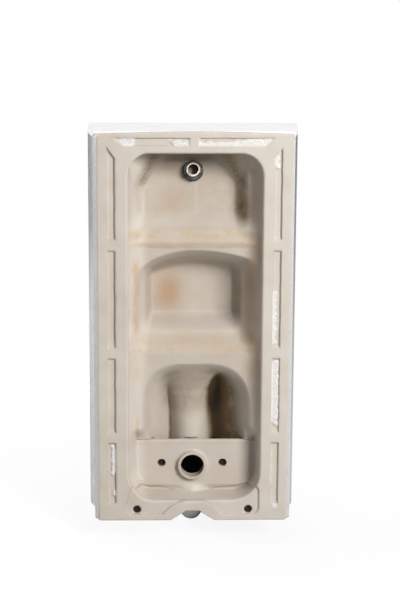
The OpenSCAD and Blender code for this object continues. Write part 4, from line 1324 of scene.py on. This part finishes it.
@dataclass
class GlazedShell:
    """The white glazed body: bowl, side shields, splash wall and top ledge, in millimetres."""

    half: float = 183.0
    inner: float = 173.0
    axis: float = 195.0
    frame_half: float = 172.0
    frame_depth: float = 14.0
    splash_face: float = 130.0
    splash_back: float = 120.3
    ledge_depth: float = 143.0
    ledge_bottom: float = 588.0
    top: float = 600.0
    lip: float = 165.0
    shoulder: float = 420.0
    reach: float = 378.0
    rim_power: float = 4.0
    bowl_top: float = 147.0
    floor: float = -33.0
    under: float = -45.0
    seat: float = 36.0
    hole: float = 20.5
    foot: float = -98.0
    foot_depth: float = 147.0
    foot_rise: float = 34.0
    foot_round: float = 10.0
    skirt: float = 116.0
    cove: float = 9.0
    bead: float = 5.0
    fillet: float = 16.0
    curve_in: float = 2.15
    curve_out: float = 0.8
    back_power: float = 0.7
    slot: str = "white_glazed_china"
    crease: float = 45.0

    def rim_height(self, depth: np.ndarray) -> np.ndarray:
        """Height of the rim: the lip's height plus a fourth power of the distance from the front."""
        share = np.clip((self.reach - depth) / (self.reach - self.ledge_depth), 0, 1)
        return self.lip + (self.shoulder - self.lip) * share**self.rim_power

    def rim_slope(self, depth: np.ndarray) -> np.ndarray:
        """Fall of the rim per millimetre of depth."""
        span = self.reach - self.ledge_depth
        share = np.clip((self.reach - depth) / span, 0, 1)
        return (self.shoulder - self.lip) * self.rim_power * share ** (self.rim_power - 1) / span

    def rim_depth(self, z: np.ndarray) -> np.ndarray:
        """Depth of the rim at a height: the rim's height solved for the depth."""
        share = np.clip((z - self.lip) / (self.shoulder - self.lip), 0, 1)
        return self.reach - (self.reach - self.ledge_depth) * share ** (1 / self.rim_power)

    def rise(self, t: np.ndarray) -> np.ndarray:
        """Share of the bowl's height at a share of its radius: 1 - (1 - t**a)**b, upright at the rim."""
        return 1 - (1 - t**self.curve_in) ** self.curve_out

    def skin_height(self, low: float, t: np.ndarray) -> np.ndarray:
        """Height of the bowl's inner or outer skin, from its lowest point to the bowl's top."""
        return low + (self.bowl_top - low) * self.rise(t)

    def front_bowl(self) -> np.ndarray:
        """Front half of the bowl: a closed profile turned about the waste's axis.

        It runs from the waste hole up the inside, over the bead of the rim and down the outside.
        """
        theta = np.linspace(-np.pi / 2, np.pi / 2, 97)[:, None]
        t = (1 - np.cos(np.linspace(0, np.pi, 45))) / 2
        middle = (self.half + self.inner) / 2
        depth = self.axis + middle * np.cos(theta)
        top = self.rim_height(depth)
        stretch = self.bead * np.sqrt(1 + (self.rim_slope(depth) * np.sin(theta)) ** 2)
        turn = np.linspace(0, np.pi, 17)[None, :]
        bead_r = middle - self.bead * np.cos(turn)
        bead_z = top - stretch + stretch * np.sin(turn)
        wall = np.linspace(0, 1, 14)[None, 1:-1]
        up_z = self.bowl_top + (top - stretch - self.bowl_top) * wall
        inner = self.seat + (self.inner - self.seat) * t
        outer = self.seat + (self.half - self.seat) * t
        rows = [
            (np.linspace(self.hole, self.seat, 3)[None, :], np.full((1, 3), self.floor)),
            (inner[None, 1:], self.skin_height(self.floor, t)[None, 1:]),
            (np.full(wall.shape, self.inner), up_z),
            (bead_r, bead_z),
            (np.full(wall.shape, self.half), up_z[:, ::-1]),
            (outer[None, ::-1], self.skin_height(self.under, t)[None, ::-1]),
            (np.array([[self.hole]]), np.array([[self.under]])),
            (np.array([[self.hole]]), np.array([[self.floor]])),
        ]
        r, z = side_by_side(rows, len(theta))
        return np.stack([r * np.sin(theta), -self.axis - r * np.cos(theta), z], axis=-1)

    def back_curve(self, half: np.ndarray, back: np.ndarray, corner: np.ndarray) -> np.ndarray:
        """Level curve of the bowl's back half: straight side, round corner, straight back.

        Args:
            half, back, corner: half width, reach toward the wall and corner radius per row.
        """
        half, back, corner = (np.asarray(v)[:, None] for v in (half, back, corner))
        a = np.linspace(0, 1, 9)[None, :-1]
        turn = np.linspace(0, np.pi / 2, 17)[None, :]
        side = (half + 0 * a, (back - corner) * a)
        round_part = (half - corner + corner * np.cos(turn), back - corner + corner * np.sin(turn))
        b = np.linspace(0, 1, 21)[None, 1:]
        flat = ((half - corner) * (1 - b), back + 0 * b)
        x, y = side_by_side([side, round_part, flat], len(half))
        x = np.concatenate([x, -x[:, -2::-1]], axis=1)
        y = np.concatenate([y, y[:, -2::-1]], axis=1)
        return np.stack([x, y - self.axis], axis=-1)

    def back_bowl(self) -> np.ndarray:
        """Back half of the bowl: level curves that grow from the waste hole to the splash wall."""
        t = (1 - np.cos(np.linspace(0, np.pi, 45))) / 2
        skins = []
        for half, face in ((self.inner, self.splash_face), (self.inner - 0.4, self.splash_back)):
            back = self.seat + (self.axis - face - self.seat) * t**self.back_power
            corner = back * (1 - t) + self.fillet * t
            skins.append(self.back_curve(self.seat + (half - self.seat) * t, back, corner))
        inside, outside = skins
        hole = self.back_curve(*(np.array([self.hole]) for _ in range(3)))
        inside_z, outside_z = self.skin_height(self.floor, t), self.skin_height(self.under, t)
        plan = np.concatenate([hole, inside, outside[::-1], hole, hole])
        z = np.concatenate([[self.floor], inside_z, outside_z[::-1], [self.under], [self.floor]])
        return np.concatenate([plan, np.broadcast_to(z[:, None, None], plan.shape[:2] + (1,))], axis=-1)

    def bowl(self) -> Shell:
        """The whole bowl as two closed halves that meet at the waste's axis."""
        front, back = self.front_bowl(), self.back_bowl().transpose(1, 0, 2)
        whole = Shell()
        for grid in (front, back):
            shell = Shell()
            shell.add_grid(grid)
            shell.add_cap(grid[0], flip=True)
            shell.add_cap(grid[-1], flip=False)
            shell.merge(grain=0.01)
            shell.face_outward()
            whole.include(shell)
        return whole

    def shield_front(self, z: np.ndarray) -> tuple:
        """Depth of a shield's front edge at each height, and the half depth of its round edge there."""
        low = self.foot + self.foot_round
        t = np.clip((self.skirt - z) / (self.skirt - low), 0, 1)
        under = self.axis + (self.foot_depth - self.axis) * (1 - (1 - t) ** 2)
        tip = np.clip((low - z) / self.foot_round, 0, 1)
        under = under - self.foot_round * quarter_round(1.0, tip)
        above = np.minimum(self.rim_depth(z), self.axis)
        depth = np.where(z > self.skirt, above, under)
        slope = 1 / np.maximum(self.rim_slope(above), 1e-3)
        edge = np.where(z > self.shoulder, self.bead, self.bead * np.sqrt(1 + slope**2))
        joined = (z > self.skirt) & (z < float(self.rim_height(np.array(self.axis))) + 0.01)
        return depth, np.where(joined, 0.0, np.where(z <= self.skirt, self.bead, edge))

    def shield(self, side: float) -> Shell:
        """One side shield: closed sections carried up the height.

        Args:
            side: 1 for the +X side, -1 for the other.
        """
        join = float(self.rim_height(np.array(self.axis)))
        low = self.foot + self.foot_round
        step = 0.02
        z = spaced(
            [
                (self.foot, low, 12),
                (low, self.skirt, 40),
                (self.skirt, self.skirt + step, 1),
                (self.skirt + step, join, 24),
                (join, join + step, 1),
                (join + step, self.shoulder, 50),
                (self.shoulder, self.ledge_bottom, 30),
            ]
        )
        depth, edge = (value[:, None] for value in self.shield_front(z))
        inset = quarter_round(3.0, np.clip(3.0 - (z - self.foot), 0, 3))[:, None]
        steps = np.linspace(0, 1, 14)[None, :]
        flare = (self.half - self.frame_half) * np.sin(steps * np.pi / 2)
        bend = self.frame_depth + (self.splash_back - self.frame_depth) * steps + 0 * inset
        run = np.linspace(0, 1, 12)[None, 1:]
        turn = np.linspace(0, np.pi, 17)[None, 1:-1]
        middle = (self.half + self.inner) / 2
        straight = self.splash_back + (depth - edge - self.splash_back) * run
        back_inner = self.frame_half - 10 + flare + inset
        parts = [
            (self.frame_half + flare - inset, bend),
            (self.half + 0 * run - inset, straight),
            (middle + (self.bead - inset) * np.cos(turn), depth - edge + edge * np.sin(turn)),
            (self.inner + 0 * run + inset, straight[:, ::-1]),
            (back_inner[:, ::-1], bend[:, ::-1]),
        ]
        x, y = side_by_side(parts, len(z))
        height = z[:, None] + self.foot_rise * (1 - y / self.foot_depth) * smooth((-10.0 - z) / 88.0)[:, None]
        grid = np.stack([side * x, -y, height + 0 * x], axis=-1)
        shell = Shell()
        shell.add_grid(grid, flip=side > 0, wrap=True)
        shell.add_cap(grid[0], flip=side < 0)
        shell.add_cap(grid[-1], flip=side > 0)
        shell.merge(grain=0.005)
        return shell

    def splash_wall(self) -> Shell:
        """Splash wall: an upright plane whose sides curve forward into the shields."""
        flat = self.inner - self.fillet
        turn = np.linspace(0, np.pi / 2, 15)[1:]
        x = np.concatenate([np.linspace(0, flat, 24), flat + self.fillet * np.sin(turn)])
        bend = self.splash_face + self.fillet * (1 - np.cos(turn))
        d = np.concatenate([np.full(24, self.splash_face), bend])
        x = np.concatenate([-x[:0:-1], x])
        d = np.concatenate([d[:0:-1], d])
        heights = np.linspace(self.bowl_top, self.ledge_bottom, 60)
        near_top = np.clip(heights - (self.ledge_bottom - self.cove), 0, self.cove)
        z = np.broadcast_to(heights[:, None], (len(heights), len(x)))
        depth = np.minimum(d[None, :] + quarter_round(self.cove, near_top)[:, None], self.ledge_depth)
        shell = Shell()
        shell.add_grid(np.stack([np.broadcast_to(x, z.shape), -depth, z], axis=-1))
        back = shell.points.copy()
        back[:, 1] = -self.splash_back
        shell.close_with(back)
        return shell

    def ledge(self) -> Shell:
        """Top ledge: a slab whose plan widens from the frame, with a broad quarter round along its front."""
        corner, front_round, side_round = 6.0, 8.0, 3.0
        front = self.ledge_depth
        depth = spaced(
            [
                (self.frame_depth, self.splash_back, 20),
                (self.splash_back, front - 12, 6),
                (front - 12, front - 1, 14),
                (front - 1, front, 4),
            ]
        )
        share = np.clip((depth - self.frame_depth) / (self.splash_back - self.frame_depth), 0, 1)
        half = self.frame_half + (self.half - self.frame_half) * np.sin(share * np.pi / 2)
        half = half - quarter_round(corner, np.clip(depth - (front - corner), 0, corner))
        right = spaced([(0, 0.95, 30), (0.95, 1, 12)])
        across = np.concatenate([-right[:0:-1], right])
        x = half[:, None] * across[None, :]
        d = np.broadcast_to(depth[:, None], x.shape)
        to_front = np.clip(front_round - (front - d), 0, front_round)
        to_side = np.clip(side_round - (half[:, None] - np.abs(x)), 0, side_round)
        z = self.top - np.maximum(quarter_round(front_round, to_front), quarter_round(side_round, to_side))
        shell = Shell()
        shell.add_grid(np.stack([x, -d, z], axis=-1), flip=True)
        back = shell.points.copy()
        back[:, 2] = self.ledge_bottom
        shell.close_with(back)
        return shell

    def build(self, finishes: dict) -> None:
        """Builds the glazed pieces and lets them stand for their nodes."""
        pieces = [
            ("glazed_bowl", self.bowl(), ("bowl_basin", "bowl_lip")),
            ("glazed_left_shield", self.shield(1.0), ("left_shield",)),
            ("glazed_right_shield", self.shield(-1.0), ("right_shield",)),
            ("glazed_splash_wall", self.splash_wall(), ("splash_wall",)),
            ("glazed_top_ledge", self.ledge(), ("top_ledge",)),
        ]
        for name, shell, nodes in pieces:
            ride(shell.build(name, finishes[Finish.GLAZE], self.crease), nodes)


# The spud


@dataclass
class Spud:
    """Flush inlet: threaded tube, gasket, friction ring and lock nut on the leaning axis, in millimetres."""

    seat: tuple = (0.0, -84.0, 522.0)
    lean: float = 15.0
    radius: float = 12.3
    bore: float = 8.7
    pitch: float = 1.8
    thread: float = 0.6
    flats: float = 31.0
    gasket: float = 18.0
    gasket_top: float = 4.0
    sleeve: float = 16.0
    sleeve_foot: float = -14.0
    collar: float = 15.2
    tube_top: float = 24.0
    tube_foot: float = -18.0
    thread_start: float = 10.0
    nut_foot: float = 5.6
    nut_top: float = 13.6
    clearance: float = 0.1
    crease: float = 30.0

    def turned(self, radius: np.ndarray, along: np.ndarray) -> np.ndarray:
        """Points round the axis: rows go along the profile, columns round it.

        Args:
            radius, along: radius and distance from the seat of each point, as (rows, columns).
        """
        count = radius.shape[1]
        angle = np.linspace(0, 2 * np.pi, count, endpoint=False)[None, :]
        lean = np.radians(self.lean)
        u, v = radius * np.cos(angle), radius * np.sin(angle)
        x = self.seat[0] + u
        y = self.seat[1] + along * np.cos(lean) - v * np.sin(lean)
        z = self.seat[2] + along * np.sin(lean) + v * np.cos(lean)
        return np.stack([x, y, z], axis=-1)

    def level(self, corners: list, count: int) -> tuple:
        """Radius and distance grids with one row for each (radius, along) corner, alike all the way round."""
        points = np.array(corners, float)
        return tuple(np.repeat(points[:, k : k + 1], count, axis=1) for k in (0, 1))

    def piece(self, radius: np.ndarray, along: np.ndarray, **values: np.ndarray) -> Shell:
        """Closed piece from its rows of points round the axis, the last row on the first."""
        shell = Shell()
        shell.add_grid(self.turned(radius, along), flip=True, wrap=True, **values)
        shell.merge(grain=0.002)
        return shell

    def ring(self, profile: list) -> Shell:
        """Ring with the same closed profile of (radius, along) corners all the way round."""
        return self.piece(*self.level(profile + profile[:1], 72))

    def tube(self) -> Shell:
        """Threaded tube: a triangular helix cut into the part that shows, a flared inner end and a bore.

        The cut is the thread's depth times 1 - |2 p - 1|, where p is the share of a turn.
        """
        count = 96
        start = self.thread_start
        along = spaced([(self.sleeve_foot, start, 6), (start, self.tube_top - 0.8, 78)])
        turn = np.linspace(0, 1, count, endpoint=False)[None, :]
        phase = (along[:, None] / self.pitch - turn) % 1.0
        cut = self.thread * (1 - np.abs(2 * phase - 1)) * smooth((along - start) / 1.5)[:, None]
        inner_end = [
            (self.bore, self.tube_foot),
            (self.collar, self.tube_foot),
            (self.collar, self.sleeve_foot),
            (self.radius, self.sleeve_foot),
        ]
        mouth = [
            (self.radius - 0.9, self.tube_top),
            (self.bore + 0.5, self.tube_top),
            (self.bore, self.tube_top - 0.6),
            (self.bore, 8.0),
        ]
        first, last = self.level(inner_end, count), self.level(mouth + inner_end[:1], count)
        radius = np.concatenate([first[0], self.radius - cut, last[0]])
        distance = np.concatenate([first[1], np.repeat(along[:, None], count, axis=1), last[1]])
        return self.piece(radius, distance, bore=smooth((self.bore + 0.6 - radius) / 0.5))

    def nut(self) -> Shell:
        """Hexagon nut whose corners are turned off by a cone at both ends."""
        count, chamfer = 120, np.tan(np.radians(30))
        low, high = self.nut_foot, self.nut_top
        angle = np.linspace(0, 2 * np.pi, count, endpoint=False)
        hexagon = self.flats / 2 / np.cos((angle + np.pi / 6) % (np.pi / 3) - np.pi / 6)
        face = self.flats / 2 - 0.4
        fall = (hexagon - face) * chamfer
        hole = self.radius + self.clearance
        rows = [
            (hole, low),
            (face, low),
            (hexagon, low + fall),
            (hexagon, high - fall),
            (face, high),
            (hole + 0.9, high),
            (hole, high - 0.9),
            (hole, low),
        ]
        radius, along = (np.stack([np.broadcast_to(row[k], (count,)) for row in rows]) for k in (0, 1))
        return self.piece(radius, along)

    def build(self, finishes: dict) -> None:
        """Builds the pieces of the spud and lets them stand for their nodes."""
        hole = self.radius + self.clearance
        gasket = [
            (hole, self.sleeve_foot),
            (self.sleeve, self.sleeve_foot),
            (self.sleeve, -0.5),
            (self.gasket, -0.5),
            (self.gasket, 2.6),
            (self.gasket - 0.5, 3.6),
            (self.gasket - 1.4, self.gasket_top),
            (hole, self.gasket_top),
        ]
        washer = [
            (hole, self.gasket_top),
            (17.0, self.gasket_top),
            (17.0, 5.3),
            (16.7, self.nut_foot),
            (hole, self.nut_foot),
        ]
        pieces = [
            ("threaded_spud", self.tube(), Finish.BRASS, "spud_metal", "inlet_spud"),
            ("moulded_gasket", self.ring(gasket), Finish.RUBBER, "black_rubber", "spud_gasket"),
            ("plated_ring", self.ring(washer), Finish.STEEL, "nut_metal", "friction_ring"),
            ("hexagon_nut", self.nut(), Finish.STEEL, "nut_metal", "spud_lock_nut"),
        ]
        for name, shell, finish, slot, node in pieces:
            ride(shell.build(name, finishes[finish], self.crease), (node,))


# Scene


@dataclass(frozen=True)
class Lamp:
    """One square soft lamp: its place, aim and size in metres, and its power in watts."""

    name: str
    place: tuple
    aim: tuple
    size: float
    watts: float
    tint: tuple = (1.0, 1.0, 1.0)

    def hang(self) -> None:
        """Puts the lamp into the scene, facing its aim."""
        data = bpy.data.lights.new(self.name, "AREA")
        data.size = self.size
        data.energy = self.watts
        data.color = self.tint
        thing = bpy.data.objects.new(self.name, data)
        from_aim = np.array(self.place, float) - np.array(self.aim, float)
        thing.location = self.place
        thing.rotation_mode = "QUATERNION"
        thing.rotation_quaternion = Vector(from_aim).to_track_quat("Z", "Y")
        bpy.context.scene.collection.objects.link(thing)


@dataclass
class Studio:
    """Camera, soft lamps, white surroundings and floor."""

    camera_place: tuple = (80.48411813, 2927.34548732, 960.83001932)
    camera_right: tuple = (-0.99953423, 0.03002664, 0.00545243)
    camera_up: tuple = (-0.00118369, -0.21667539, 0.97624299)
    camera_ahead: tuple = (-0.03049471, -0.97578183, -0.21661001)
    focal_pixels: float = 1747.0
    long_side_pixels: float = 600.0
    sensor: float = 36.0
    clip_range: tuple = (0.05, 30.0)
    floor_height: float = -130.6
    ambient: float = 0.05
    reflected: float = 0.89
    floor_half: float = 6.0
    floor_seen: float = 0.88
    floor_bounce: float = 0.42
    lamps: tuple = (
        Lamp("key", (-1.43, 2.47, 1.70), (0.0, 0.0, 0.25), 1.0, 124.0, (1.0, 0.99, 0.98)),
        Lamp("side", (2.0, -1.6, 1.0), (0.0, -0.1, 0.25), 1.4, 50.0),
        Lamp("edge", (2.2, 0.12, 0.9), (0.18, 0.0, 0.25), 0.6, 12.0),
        Lamp("overhead", (0.0, -0.3, 2.6), (0.0, -0.1, 0.5), 1.2, 19.0),
    )

    def camera(self) -> None:
        """Sets the camera that stands where the photograph was taken."""
        data = bpy.data.cameras.new("camera")
        data.sensor_width = self.sensor
        data.lens = self.focal_pixels / self.long_side_pixels * self.sensor
        data.clip_start, data.clip_end = self.clip_range
        thing = bpy.data.objects.new("camera", data)
        matrix = np.eye(4)
        matrix[:3, :3] = np.array([self.camera_right, self.camera_up, -np.array(self.camera_ahead)]).T
        matrix[:3, 3] = np.array(self.camera_place) * MM
        thing.matrix_world = Matrix(matrix.tolist())
        bpy.context.scene.collection.objects.link(thing)
        bpy.context.scene.camera = thing

    def world(self) -> None:
        """White to the camera, nearly white in reflections, and a faint even light elsewhere."""
        world = bpy.data.worlds.new("studio")
        world.use_nodes = True
        bpy.context.scene.world = world
        tree = world.node_tree
        n = Nodes(tree)
        shader = tree.nodes["Background"]
        path = n.add("ShaderNodeLightPath")
        mirrored = n.math("MULTIPLY", path.outputs["Is Glossy Ray"], self.reflected)
        seen = n.math("MAXIMUM", path.outputs["Is Camera Ray"], mirrored)
        strength = n.math("MAXIMUM", seen, self.ambient)
        shader.inputs["Color"].default_value = (1, 1, 1, 1)
        n.feed(shader, "Strength", strength)

    def floor(self) -> None:
        """Large plain floor, white to the camera apart from the object's faint shadow."""
        half, height = self.floor_half, self.floor_height * MM
        corners = [(-half, -half), (half, -half), (half, half), (-half, half)]
        mesh = bpy.data.meshes.new("floor")
        mesh.from_pydata([(x, y, height) for x, y in corners], [], [(0, 1, 2, 3)])
        material, n, shader = new_material("pale_floor")
        shader.inputs["Roughness"].default_value = 0.9
        place = n.place()
        path = n.add("ShaderNodeLightPath")
        seen = path.outputs["Is Camera Ray"]
        cloud = n.between(n.noise(place, 3.0), 0.3, 0.7, 0.94, 1.0)
        extra = n.math("MULTIPLY", seen, self.floor_seen - self.floor_bounce)
        tone = n.math("MULTIPLY", cloud, n.math("ADD", extra, self.floor_bounce))
        n.feed(shader, "Base Color", n.mix(tone, (0, 0, 0, 1), (1, 1, 1, 1)))
        glow = n.add("ShaderNodeEmission")
        glow.inputs["Strength"].default_value = 1.0
        blend = n.add("ShaderNodeMixShader")
        distance = n.add("ShaderNodeVectorMath", operation="LENGTH", in_0=place).outputs["Value"]
        far = n.between(distance, 0.3, 0.9)
        white = n.math("ADD", n.math("MULTIPLY", far, 0.10), 0.90)
        n.feed(blend, "0", n.math("MULTIPLY", seen, white))
        tree = material.node_tree
        tree.links.new(shader.outputs[0], blend.inputs[1])
        tree.links.new(glow.outputs[0], blend.inputs[2])
        tree.links.new(blend.outputs[0], tree.nodes["Material Output"].inputs["Surface"])
        mesh.materials.append(material)
        thing = bpy.data.objects.new("floor", mesh)
        bpy.context.scene.collection.objects.link(thing)

    def build(self) -> None:
        """Sets up the whole studio."""
        bpy.context.scene.view_settings.view_transform = "Standard"
        self.camera()
        self.world()
        self.floor()
        for lamp in self.lamps:
            lamp.hang()


def dress_nodes(finishes: dict) -> None:
    """Gives every CAD node its finish."""
    finish = {name: Finish.GLAZE for name in GLAZED_NODES}
    finish.update({name: Finish.PASSAGE for name in PASSAGE_NODES})
    finish.update(
        inlet_spud=Finish.BRASS,
        spud_gasket=Finish.RUBBER,
        friction_ring=Finish.STEEL,
        spud_lock_nut=Finish.STEEL,
        strainer=Finish.STRAINER,
    )
    for name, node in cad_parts.items():
        material = finishes[finish.get(name, Finish.BISQUE)]
        node.data.materials.clear()
        node.data.materials.append(material)


def main() -> None:
    """Builds the studio, the pieces and their finishes, and reports each."""
    logging.basicConfig(level=logging.INFO, format="%(message)s")
    Studio().build()
    finishes = make_finishes()
    dress_nodes(finishes)
    CastBack(BackShape()).build(finishes)
    GlazedShell().build(finishes)
    Spud().build(finishes)


if __name__ == "__main__":
    main()
